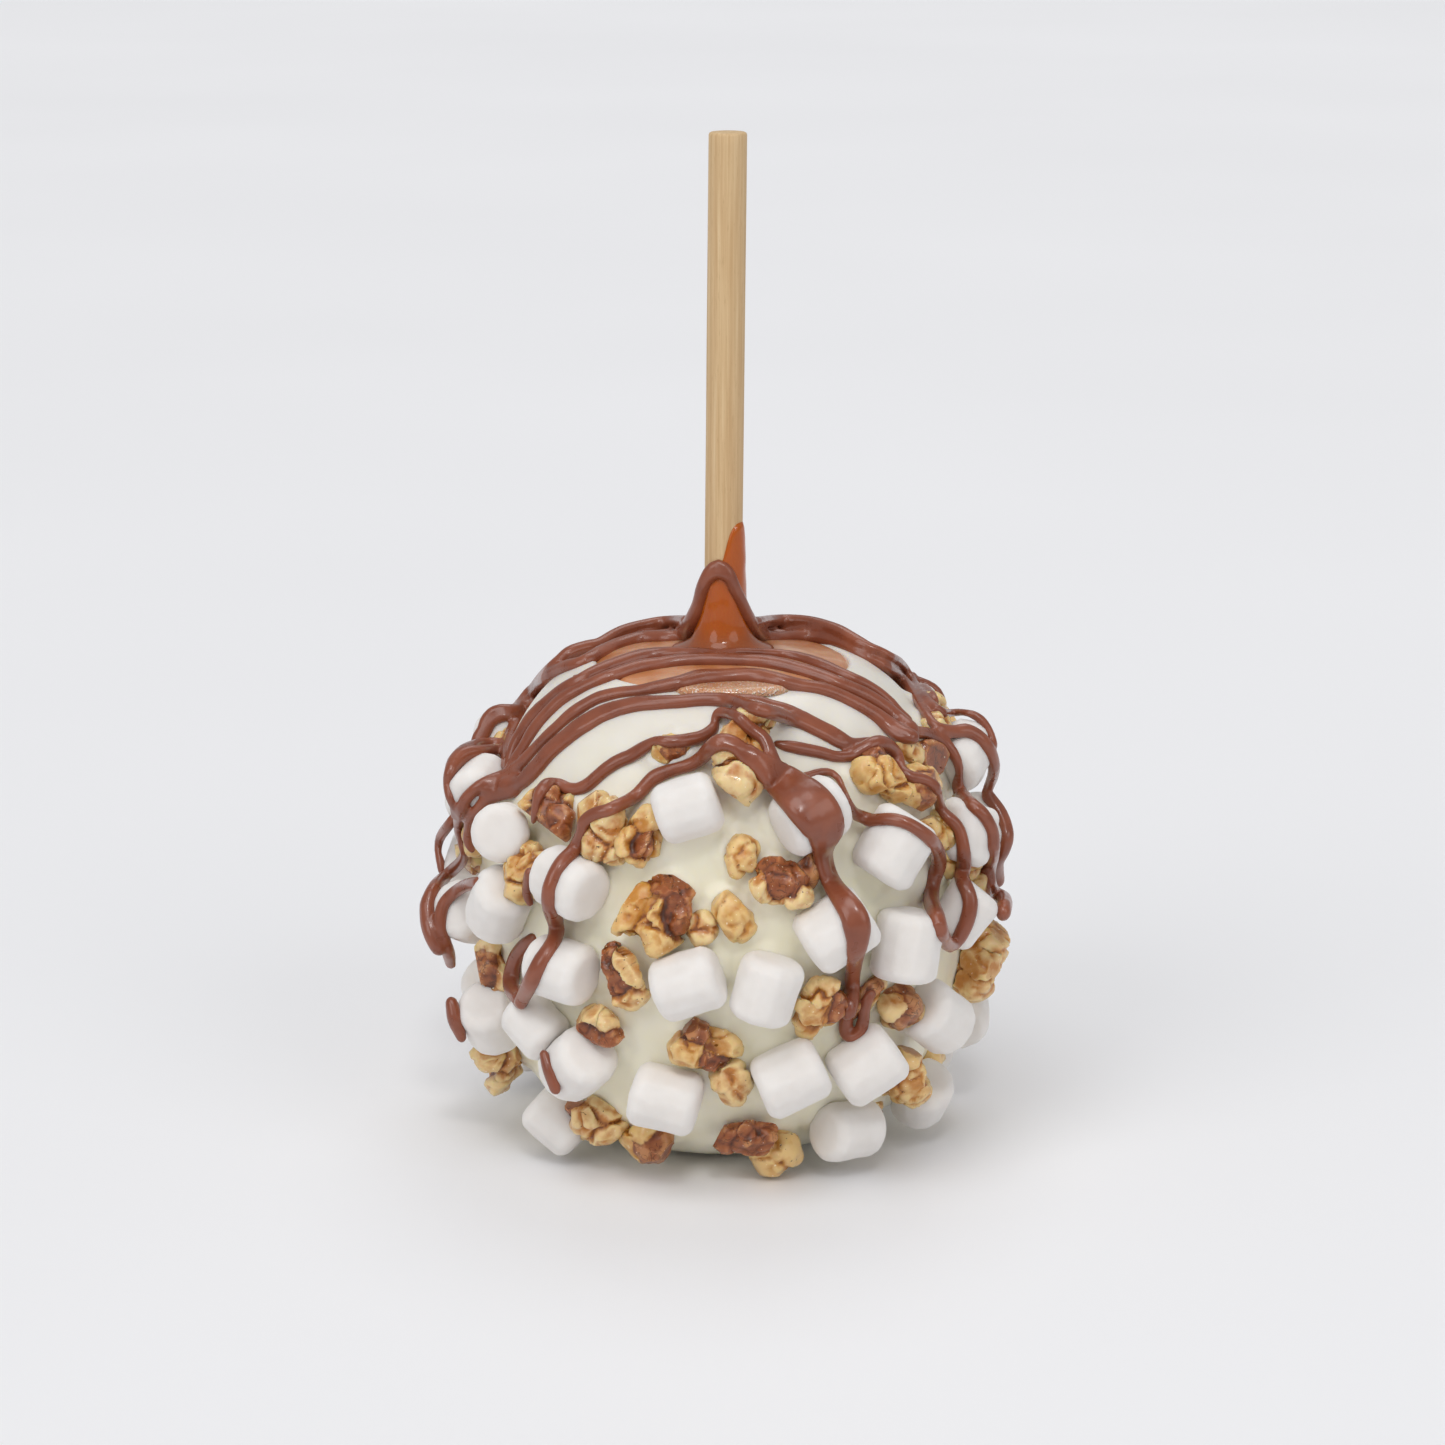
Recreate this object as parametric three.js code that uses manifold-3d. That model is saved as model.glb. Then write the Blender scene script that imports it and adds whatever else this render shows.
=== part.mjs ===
// A toffee apple on a wooden stick: an apple dipped in caramel, then in white chocolate up to its
// shoulder, and rolled in mini marshmallows and broken walnuts. Millimetres, +Z up, standing on a small
// flat spot round the origin. Azimuth 0 faces -Y and azimuth 90 faces +X.
import * as THREE from 'three';
import { mergeVertices } from 'three/addons/utils/BufferGeometryUtils.js';
import Module from 'manifold-3d';

const wasm = await Module();
wasm.setup();

// Driving dimensions.
const GAP = 0.3; // left between pieces that touch
const FOOT_RADIUS = 17; // the flat spot the apple stands on
const BELLY_RADIUS = 41;
const BELLY_HEIGHT = 41;
const RIM_RADIUS = 22.5; // where the white chocolate ends at the top
const RIM_HEIGHT = 81;
const FOOT_CURVE_RADIUS = 31.5; // points that pull the side's outline full, from the foot up to the rim
const LOWER_CURVE_HEIGHT = 18;
const UPPER_CURVE_HEIGHT = 60;
const SHOULDER_CURVE_RADIUS = 34;
const SHOULDER_CURVE_HEIGHT = 77.5;
const TWO_SIDED_SWELL = 0.008; // lopsidedness: sections swell twice, and three times, on the way round
const THREE_SIDED_SWELL = 0.006;
const COAT_THICKNESS = 1.7;
const CARAMEL_RISE = 2.3; // from the rim of the coat to the stick
const POOL_CURVE_RISE = 1.6; // how the caramel bends on the way there
const POOL_CURVE_SHARE = 0.8;
const STICK_DIAMETER = 6.35;
const STICK_LENGTH = 140;
const STICK_TOP = 170.3;
const STICK_LEAN = 0.57; // degrees towards +X
const STICK_CHAMFER = 0.5;
const COLLAR_FOOT_RADIUS = 6.4; // caramel drawn up round the stick
const COLLAR_HEIGHT = 8;
const COLLAR_PEAKS = [
  { azimuth: -30, rise: 6, spread: 50 },
  { azimuth: 62, rise: 14, spread: 56 }, // a tongue of caramel on the stick's +X side
];
// The collar's outline: distance from the stick's surface, and share of its height there.
const COLLAR_OUTLINE = [
  [2.6, 0.12],
  [1.5, 0.35],
  [1.0, 0.7],
  [0.7, 1],
];
const MARSHMALLOW_DIAMETER = 10;
const MARSHMALLOW_LENGTH = 10;
const MARSHMALLOW_EDGE = 2; // radius of its rounded edges
const MARSHMALLOW_EDGE_ANGLES = [22.5, 67.5];
const MARSHMALLOW_SINK = 1.3; // how deep it is pressed in
const MARSHMALLOW_REACH = 8; // toppings can only touch where their seats lie within their reaches together
const WALNUT_FOLD = 2.2; // radius of one rounded fold at its edge
const WALNUT_FOLD_STEP = 48; // degrees of outline to a fold
const WALNUT_FOLD_SHIFT = 30; // how far a fold may stray from its even place
const WALNUT_HEART = 0.38; // the heart's half size against the piece's length, width and thickness
const WALNUT_TURN = 97; // how much further round the folds start on each piece, so that no two are alike
const WALNUT_SINK = 0.8;
const WALNUT_REACH = 0.6; // the same, against the piece's length
const ROUND_STEPS = 28; // sides of the round pieces
const STICK_SIDES = 18;
const MARSHMALLOW_SIDES = 12;
const WALNUT_DETAIL = 2; // times that an icosahedron's sides are halved
const POOL_STEPS = 4;
const OUTER_STEPS = 5; // rings on each half of the coat's outside
const INNER_STEPS = 4; // and where the coat meets the caramel

const COLLAR_BASE = RIM_HEIGHT + CARAMEL_RISE + GAP;

// Each marshmallow: azimuth, height, spin of its axis about the outward direction (0 is level), tip of
// that axis out of the surface, and its size against the usual one. Degrees and millimetres.
const MARSHMALLOWS = [
  [-8, 65, 20, 0, 1.0],
  [20, 63.5, 21, 0, 1.07],
  [40, 57, 55, 20, 1.12],
  [-58, 56.5, 10, 40, 1.0],
  [-80, 60, -20, 20, 0.95],
  [-56, 45.5, 50, 10, 1.06],
  [-34.5, 52, -12, 10, 1.05],
  [-78, 39.5, 30, 30, 1.0],
  [-36, 38, -5, 0, 1.04],
  [-46, 27, -35, 0, 0.95],
  [-67, 24, 60, 15, 1.02],
  [-34, 22.5, 42, 10, 1.08],
  [-50, 9.5, -48, 0, 1.0],
  [-13, 18.5, -13, 0, 1.08],
  [-7, 38.5, 20, 0, 1.07],
  [9, 37.5, 74, 0, 1.05],
  [15, 22.3, 25, 0, 1.1],
  [33.5, 22.5, 38, 10, 1.1],
  [24, 46, 32, 15, 1.13],
  [41.7, 41.3, 78, 0, 1.13],
  [64, 42.5, 60, 30, 0.98],
  [54.5, 27, -35, 10, 1.07],
  [95, 19, 20, 0, 1.05],
  [34.5, 10.2, -8, 0, 1.02],
  [66, 11, -55, 0, 1.0],
  [86, 64, 15, 30, 1.0],
  [70, 54.5, 70, 20, 1.0],
  [99, 49, 40, 0, 1.05],
  [125, 66, 0, 0, 0.98],
  [-114, 62, 30, 0, 1.0],
  [-122, 40, 15, 0, 1.03],
  [-128, 20, 70, 10, 1.0],
  [-150, 60, -25, 0, 1.0],
  [172, 36, 35, 0, 1.04],
  [140, 18, -15, 10, 1.0],
  [146, 52, 60, 0, 1.02],
];

// Each walnut piece: azimuth, height, spin of its long side, length, width, thickness, and how many
// degrees of its outline are edged with rounded folds.
const WALNUTS = [
  [-45, 61.5, -35, 13, 8.5, 6, 250],
  [-27.5, 60, -60, 12.5, 8.5, 6.5, 200],
  [-19.5, 60.5, 80, 9, 6, 6, 140],
  [6, 72.5, 78, 17, 9.5, 6.5, 300],
  [-48, 52, 70, 11, 7.5, 6.5, 180],
  [-14.5, 49.5, 62, 15, 13, 6, 270],
  [-22, 39.5, -65, 13, 8, 5.5, 240],
  [12.5, 54, -15, 10.5, 8.5, 6, 260],
  [-27, 28.5, -20, 9.5, 6.5, 6.5, 160],
  [-4.5, 27.5, -40, 11, 9, 5.5, 270],
  [21.5, 32.5, 65, 11.5, 8.5, 6, 220],
  [-74, 15.5, 50, 13, 9.5, 8, 260],
  [-36, 10.5, -35, 12, 8.5, 6, 240],
  [5.5, 10, 5, 14, 7.5, 6, 280],
  [50, 17, -60, 13, 9, 6.5, 260],
  [84, 30, 30, 14.5, 11, 8.5, 250],
  [45, 68, -40, 10.5, 9, 6, 220],
  [-150, 38, 40, 13, 9, 7, 270],
  [160, 68, -20, 12, 8, 6, 250],
  [175, 15, 15, 12, 8, 7, 260],
];

const COLOURS = {
  caramel: '#bb8269',
  whiteChocolate: '#e6e3d3',
  wood: '#cfb088',
  marshmallow: '#f2eeec',
  walnut: '#c08d4d',
};

const degrees = THREE.MathUtils.degToRad;

// --- Shape of the dipped apple -------------------------------------------------------------------

function bezier(...points) {
  return new THREE.CubicBezierCurve(...points.map(([radius, height]) => new THREE.Vector2(radius, height)));
}

const LOWER_SIDE = bezier(
  [FOOT_RADIUS, 0],
  [FOOT_CURVE_RADIUS, 0],
  [BELLY_RADIUS, LOWER_CURVE_HEIGHT],
  [BELLY_RADIUS, BELLY_HEIGHT],
);
const UPPER_SIDE = bezier(
  [BELLY_RADIUS, BELLY_HEIGHT],
  [BELLY_RADIUS, UPPER_CURVE_HEIGHT],
  [SHOULDER_CURVE_RADIUS, SHOULDER_CURVE_HEIGHT],
  [RIM_RADIUS, RIM_HEIGHT],
);

// Points of the side's outline, moved outwards by offset, from the foot up to the rim.
function sideOutline(offset, steps) {
  const outline = [];
  for (const curve of [LOWER_SIDE, UPPER_SIDE]) {
    for (let step = outline.length ? 1 : 0; step <= steps; step += 1) {
      const along = curve.getTangent(step / steps);
      const outward = new THREE.Vector2(along.y, -along.x);
      outline.push(curve.getPoint(step / steps).addScaledVector(outward, offset));
    }
  }
  return outline;
}

// How much wider or narrower than round the apple is at this azimuth, in radians, and height.
function unevenness(azimuth, height) {
  const fullness = Math.sin((Math.PI * THREE.MathUtils.clamp(height, 0, RIM_HEIGHT)) / RIM_HEIGHT);
  const twoSided = TWO_SIDED_SWELL * Math.sin(2 * azimuth + 0.7);
  const threeSided = THREE_SIDED_SWELL * Math.sin(3 * azimuth + 2);
  return 1 + fullness * (twoSided + threeSided);
}

// A lathe round the Z axis from a list of (radius, height), with the apple's unevenness.
function turned(outline, segments = ROUND_STEPS, uneven = true) {
  const geometry = new THREE.LatheGeometry(outline, segments).rotateX(Math.PI / 2);
  const place = geometry.attributes.position;
  for (let index = 0; uneven && index < place.count; index += 1) {
    const [x, y, z] = [place.getX(index), place.getY(index), place.getZ(index)];
    const swell = unevenness(Math.atan2(x, -y), z);
    place.setXY(index, x * swell, y * swell);
  }
  return geometry;
}

// --- Solids --------------------------------------------------------------------------------------

function solid(geometry) {
  const bare = geometry.clone();
  bare.deleteAttribute('normal');
  bare.deleteAttribute('uv');
  const merged = mergeVertices(bare, 1e-4);
  const corners = merged.index.array;
  const triangles = [];
  for (let first = 0; first < corners.length; first += 3) {
    const [a, b, c] = corners.slice(first, first + 3);
    if (a !== b && b !== c && c !== a) triangles.push(a, b, c);
  }
  const mesh = new wasm.Mesh({
    numProp: 3,
    vertProperties: merged.attributes.position.array,
    triVerts: Uint32Array.from(triangles),
  });
  return new wasm.Manifold(mesh);
}

function geometryOf(manifold) {
  const mesh = manifold.getMesh();
  const geometry = new THREE.BufferGeometry();
  geometry.setAttribute('position', new THREE.BufferAttribute(Float32Array.from(mesh.vertProperties), 3));
  geometry.setIndex(new THREE.BufferAttribute(Uint32Array.from(mesh.triVerts), 1));
  geometry.computeVertexNormals();
  return geometry;
}

// A cylinder on the stick's leaning axis, between two heights.
function onStickAxis(radius, from, to) {
  const turn = new THREE.CylinderGeometry(radius, radius, to - from, STICK_SIDES).rotateX(Math.PI / 2);
  turn.translate(0, 0, (from + to) / 2 - RIM_HEIGHT);
  return turn.rotateY(degrees(STICK_LEAN)).translate(0, 0, RIM_HEIGHT);
}

function stickGeometry() {
  const radius = STICK_DIAMETER / 2;
  const bottom = STICK_TOP - STICK_LENGTH - RIM_HEIGHT;
  const top = STICK_TOP - RIM_HEIGHT;
  const outline = [
    [0, bottom],
    [radius - STICK_CHAMFER, bottom],
    [radius, bottom + STICK_CHAMFER],
    [radius, top - STICK_CHAMFER],
    [radius - STICK_CHAMFER, top],
    [0, top],
  ];
  const points = outline.map(([x, y]) => new THREE.Vector2(x, y));
  return turned(points, STICK_SIDES, false).rotateY(degrees(STICK_LEAN)).translate(0, 0, RIM_HEIGHT);
}

function coatGeometry() {
  const outer = sideOutline(0, OUTER_STEPS);
  const inner = sideOutline(-COAT_THICKNESS, INNER_STEPS).reverse();
  const foot = new THREE.Vector2(0, 0);
  const inside = new THREE.Vector2(0, COAT_THICKNESS);
  return turned([foot, ...outer, ...inner, inside]);
}

function caramelAppleGeometry() {
  const inset = COAT_THICKNESS + GAP;
  const side = sideOutline(-inset, INNER_STEPS);
  const shoulder = side[side.length - 1];
  const top = new THREE.Vector2(0, RIM_HEIGHT + CARAMEL_RISE);
  const bend = new THREE.Vector2(shoulder.x * POOL_CURVE_SHARE, RIM_HEIGHT + POOL_CURVE_RISE);
  const pool = new THREE.QuadraticBezierCurve(shoulder, bend, top);
  const outline = [new THREE.Vector2(0, inset), ...side, ...pool.getPoints(POOL_STEPS).slice(1)];
  const hole = onStickAxis(STICK_DIAMETER / 2 + GAP, STICK_TOP - STICK_LENGTH - GAP, STICK_TOP);
  return geometryOf(solid(turned(outline)).subtract(solid(hole)));
}

// How far the caramel has crept up the stick at this azimuth, in degrees.
function collarHeight(azimuth) {
  let height = COLLAR_HEIGHT;
  for (const peak of COLLAR_PEAKS) {
    const away = THREE.MathUtils.euclideanModulo(azimuth - peak.azimuth + 180, 360) - 180;
    height += peak.rise * Math.exp(-((away / peak.spread) ** 4));
  }
  return height;
}

function collarGeometry() {
  const radius = STICK_DIAMETER / 2;
  const side = COLLAR_OUTLINE.map(([away, share]) => [radius + away, share]);
  const outline = [[0, 0], [COLLAR_FOOT_RADIUS, 0], ...side, [0, 1]];
  const collar = turned(outline.map(([x, y]) => new THREE.Vector2(x, y)), STICK_SIDES, false);
  const place = collar.attributes.position;
  for (let index = 0; index < place.count; index += 1) {
    const azimuth = THREE.MathUtils.radToDeg(Math.atan2(place.getX(index), -place.getY(index)));
    place.setZ(index, place.getZ(index) * collarHeight(azimuth));
  }
  collar.rotateY(degrees(STICK_LEAN)).translate(0, 0, COLLAR_BASE);
  const bore = onStickAxis(radius + GAP, RIM_HEIGHT - STICK_DIAMETER, STICK_TOP);
  return geometryOf(solid(collar).subtract(solid(bore)));
}

// --- Toppings ------------------------------------------------------------------------------------

const FINE_OUTLINE = sideOutline(0, 60);

// The place on the coat at this azimuth and height: the point, and the directions level, up the side and
// outwards.
function seat(azimuthDegrees, height) {
  const azimuth = degrees(azimuthDegrees);
  const above = Math.max(1, FINE_OUTLINE.findIndex((point) => point.y > height));
  const [low, high] = [FINE_OUTLINE[above - 1], FINE_OUTLINE[above]];
  const share = (height - low.y) / (high.y - low.y);
  const radius = THREE.MathUtils.lerp(low.x, high.x, share) * unevenness(azimuth, height);
  const slope = high.clone().sub(low).normalize();
  const round = new THREE.Vector3(Math.sin(azimuth), -Math.cos(azimuth), 0);
  const level = new THREE.Vector3(Math.cos(azimuth), Math.sin(azimuth), 0);
  const upSide = round.clone().multiplyScalar(slope.x).setZ(slope.y);
  const outward = round.clone().multiplyScalar(slope.y).setZ(-slope.x);
  return { point: round.multiplyScalar(radius).setZ(height), level, upSide, outward };
}

// A matrix whose Y axis is the topping's own axis: spun about the outward direction and tipped out of
// the surface.
function placement(place, spin, tip, lift) {
  const along = place.level.clone().multiplyScalar(Math.cos(degrees(spin)));
  along.addScaledVector(place.upSide, Math.sin(degrees(spin)));
  const axis = along.multiplyScalar(Math.cos(degrees(tip)));
  axis.addScaledVector(place.outward, Math.sin(degrees(tip)));
  const side = new THREE.Vector3().crossVectors(axis, place.outward).normalize();
  const out = new THREE.Vector3().crossVectors(side, axis);
  const matrix = new THREE.Matrix4().makeBasis(side, axis, out);
  return matrix.setPosition(place.point.clone().addScaledVector(place.outward, lift));
}

// A short rounded cylinder about Y.
function marshmallowGeometry(size, grow = 0) {
  const radius = (MARSHMALLOW_DIAMETER * size) / 2 + grow;
  const half = (MARSHMALLOW_LENGTH * size) / 2 + grow;
  const corner = MARSHMALLOW_EDGE_ANGLES.map((angle) => [
    radius - MARSHMALLOW_EDGE * (1 - Math.cos(degrees(angle))),
    half - MARSHMALLOW_EDGE * (1 - Math.sin(degrees(angle))),
  ]);
  const upper = [...corner, [0, half]];
  const lower = upper.map(([x, y]) => [x, -y]).reverse();
  const outline = [...lower, ...upper].map(([x, y]) => new THREE.Vector2(x, y));
  return new THREE.LatheGeometry(outline, MARSHMALLOW_SIDES);
}

function marshmallow([azimuth, height, spin, tip, size], grow) {
  const half = (MARSHMALLOW_DIAMETER * size) / 2;
  const place = seat(azimuth, height);
  return marshmallowGeometry(size, grow).applyMatrix4(placement(place, spin, tip, half - MARSHMALLOW_SINK));
}

// A repeatable number from 0 to 1 for each pair of whole numbers.
function chance(piece, draw) {
  const value = Math.sin(piece * 127.1 + draw * 311.7) * 43758.5453;
  return value - Math.floor(value);
}

// How far from the origin, along a unit direction, a ball's far side lies, or 0 if the direction misses
// it.
function reachOf(direction, ball) {
  const along = direction.dot(ball.centre);
  const inside = along ** 2 - ball.centre.lengthSq() + ball.radius ** 2;
  return inside > 0 ? along + Math.sqrt(inside) : 0;
}

// The rounded folds along part of a walnut piece's outline, in its own frame: long side along Y, outward
// +Z.
function walnutFolds(piece, length, width, thickness, sweep) {
  const folds = [];
  const count = Math.round(sweep / WALNUT_FOLD_STEP);
  for (let fold = 0; fold < count; fold += 1) {
    const shift = WALNUT_FOLD_SHIFT * chance(piece, fold);
    const angle = degrees((sweep * fold) / count + shift + WALNUT_TURN * piece);
    const radius = WALNUT_FOLD * (0.8 + 0.4 * chance(piece, fold + 10));
    const x = Math.cos(angle) * (width / 2 - radius);
    const y = Math.sin(angle) * (length / 2 - radius);
    const z = (thickness / 2 - radius) * (0.2 + chance(piece, fold + 30));
    folds.push({ centre: new THREE.Vector3(x, y, z), radius });
  }
  return folds;
}

// A broken piece of walnut kernel about the origin: a lens-shaped heart, out to the far side of its
// rounded folds.
function walnutGeometry(piece, [, , , length, width, thickness, sweep], grow) {
  const folds = walnutFolds(piece, length, width, thickness, sweep);
  const geometry = new THREE.IcosahedronGeometry(1, WALNUT_DETAIL);
  const place = geometry.attributes.position;
  const direction = new THREE.Vector3();
  for (let index = 0; index < place.count; index += 1) {
    direction.fromBufferAttribute(place, index).normalize();
    const heart = new THREE.Vector3(direction.x / width, direction.y / length, direction.z / thickness);
    const reach = Math.max(WALNUT_HEART / heart.length(), ...folds.map((fold) => reachOf(direction, fold)));
    direction.multiplyScalar(reach + grow);
    place.setXYZ(index, direction.x, direction.y, direction.z);
  }
  return geometry;
}

function walnut(piece, values, grow) {
  const [azimuth, height, spin, , , thickness] = values;
  const matrix = placement(seat(azimuth, height), spin, 0, thickness / 2 - WALNUT_SINK);
  return walnutGeometry(piece, values, grow).applyMatrix4(matrix);
}

// Presses a topping flat where it meets the coat: against the plane that touches the coat there, GAP
// outside it.
function flattened(geometry, { point, outward }) {
  const corners = geometry.attributes.position;
  const corner = new THREE.Vector3();
  for (let index = 0; index < corners.count; index += 1) {
    corner.fromBufferAttribute(corners, index);
    const depth = GAP - corner.clone().sub(point).dot(outward);
    if (depth > 0) corner.addScaledVector(outward, depth);
    corners.setXYZ(index, corner.x, corner.y, corner.z);
  }
  return geometry;
}

function topping(name, colour, values, reach, shape, grown) {
  const place = seat(values[0], values[1]);
  const pressed = solid(flattened(shape, place));
  return { name, colour, reach, seat: place.point, shape: pressed, grown: solid(grown) };
}

// Toppings press against each other without touching: each is cut back from every one before it.
function settled(toppings) {
  toppings.forEach((later, index) => {
    for (const earlier of toppings.slice(0, index)) {
      const near = earlier.seat.distanceTo(later.seat) < earlier.reach + later.reach;
      if (near) later.shape = later.shape.subtract(earlier.grown);
    }
  });
  return toppings;
}

const numbered = (name, index) => `${name}_${String(index + 1).padStart(2, '0')}`;

function toppingList() {
  const marshmallows = MARSHMALLOWS.map((values, index) => {
    const name = numbered('marshmallow', index);
    const [shape, grown] = [marshmallow(values, 0), marshmallow(values, GAP)];
    return topping(name, COLOURS.marshmallow, values, MARSHMALLOW_REACH, shape, grown);
  });
  const walnuts = WALNUTS.map((values, index) => {
    const name = numbered('walnut', index);
    const reach = values[3] * WALNUT_REACH;
    const [shape, grown] = [walnut(index + 1, values, 0), walnut(index + 1, values, GAP)];
    return topping(name, COLOURS.walnut, values, reach, shape, grown);
  });
  return settled([...marshmallows, ...walnuts]);
}

// --- The whole -----------------------------------------------------------------------------------

const toffeeApple = new THREE.Group();

function addPiece(name, geometry, color, roughness) {
  const material = new THREE.MeshStandardMaterial({ color, roughness, metalness: 0 });
  const piece = new THREE.Mesh(geometry, material);
  piece.name = name;
  toffeeApple.add(piece);
}

addPiece('caramel_apple', caramelAppleGeometry(), COLOURS.caramel, 0.3);
addPiece('caramel_collar', collarGeometry(), COLOURS.caramel, 0.3);
addPiece('white_chocolate_coat', coatGeometry(), COLOURS.whiteChocolate, 0.4);
addPiece('stick', stickGeometry(), COLOURS.wood, 0.7);
for (const { name, colour, shape } of toppingList()) addPiece(name, geometryOf(shape), colour, 0.7);

export default toffeeApple;
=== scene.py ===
# The looks of a toffee apple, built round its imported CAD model: caramel, white chocolate coat,
# marshmallows, walnuts and milk chocolate drizzle. Shapes are worked out in millimetres and made
# in metres. Azimuth 0 faces -Y, 90 faces +X.
import itertools
import math

import bmesh
import bpy
import numpy as np
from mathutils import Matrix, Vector
from mathutils.bvhtree import BVHTree


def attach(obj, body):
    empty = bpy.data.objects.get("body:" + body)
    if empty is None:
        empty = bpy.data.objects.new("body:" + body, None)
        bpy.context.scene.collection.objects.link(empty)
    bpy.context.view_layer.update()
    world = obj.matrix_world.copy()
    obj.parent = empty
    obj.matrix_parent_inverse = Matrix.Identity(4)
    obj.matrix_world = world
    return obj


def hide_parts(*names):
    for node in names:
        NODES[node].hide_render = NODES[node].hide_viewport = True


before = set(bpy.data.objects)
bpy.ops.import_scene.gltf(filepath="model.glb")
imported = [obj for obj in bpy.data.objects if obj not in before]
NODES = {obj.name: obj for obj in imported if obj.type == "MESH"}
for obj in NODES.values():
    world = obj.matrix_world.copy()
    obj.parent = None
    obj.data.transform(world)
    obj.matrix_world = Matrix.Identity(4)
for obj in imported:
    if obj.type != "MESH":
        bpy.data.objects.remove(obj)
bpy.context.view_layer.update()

MM = 0.001

# --- Sizes, in millimetres and degrees ---------------------------------------------

FOOT_RADIUS = 17.0
BELLY_RADIUS = 41.0
BELLY_HEIGHT = 41.0
RIM_RADIUS = 22.5
RIM_HEIGHT = 81.0
COAT_THICKNESS = 1.7
CARAMEL_INSET = 2.0
STICK_RADIUS = 3.175
STICK_BOTTOM = 30.3
STICK_TOP = 170.3
STICK_LEAN = 0.57
COLLAR_BASE = 83.4
COLLAR_HEIGHT = 8.0
COLLAR_PEAKS = [(-30, 6.0, 50), (62, 14.0, 56)]  # azimuth, rise, spread
MIDDLE = np.array([0.0, 0.0, BELLY_HEIGHT])

CAMERA_BACK = 662.0
CAMERA_HEIGHT = 238.5
CAMERA_PITCH = 14.25
CAMERA_LENS = 100.0
SENSOR = 36.0
FRAME_PIXELS = 1445

# --- The drizzle, as it shows in the camera's frame --------------------------------
# Each strand is a list of (x, y) or (x, y, width) in pixels of the 1445 x 1445 frame.

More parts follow.
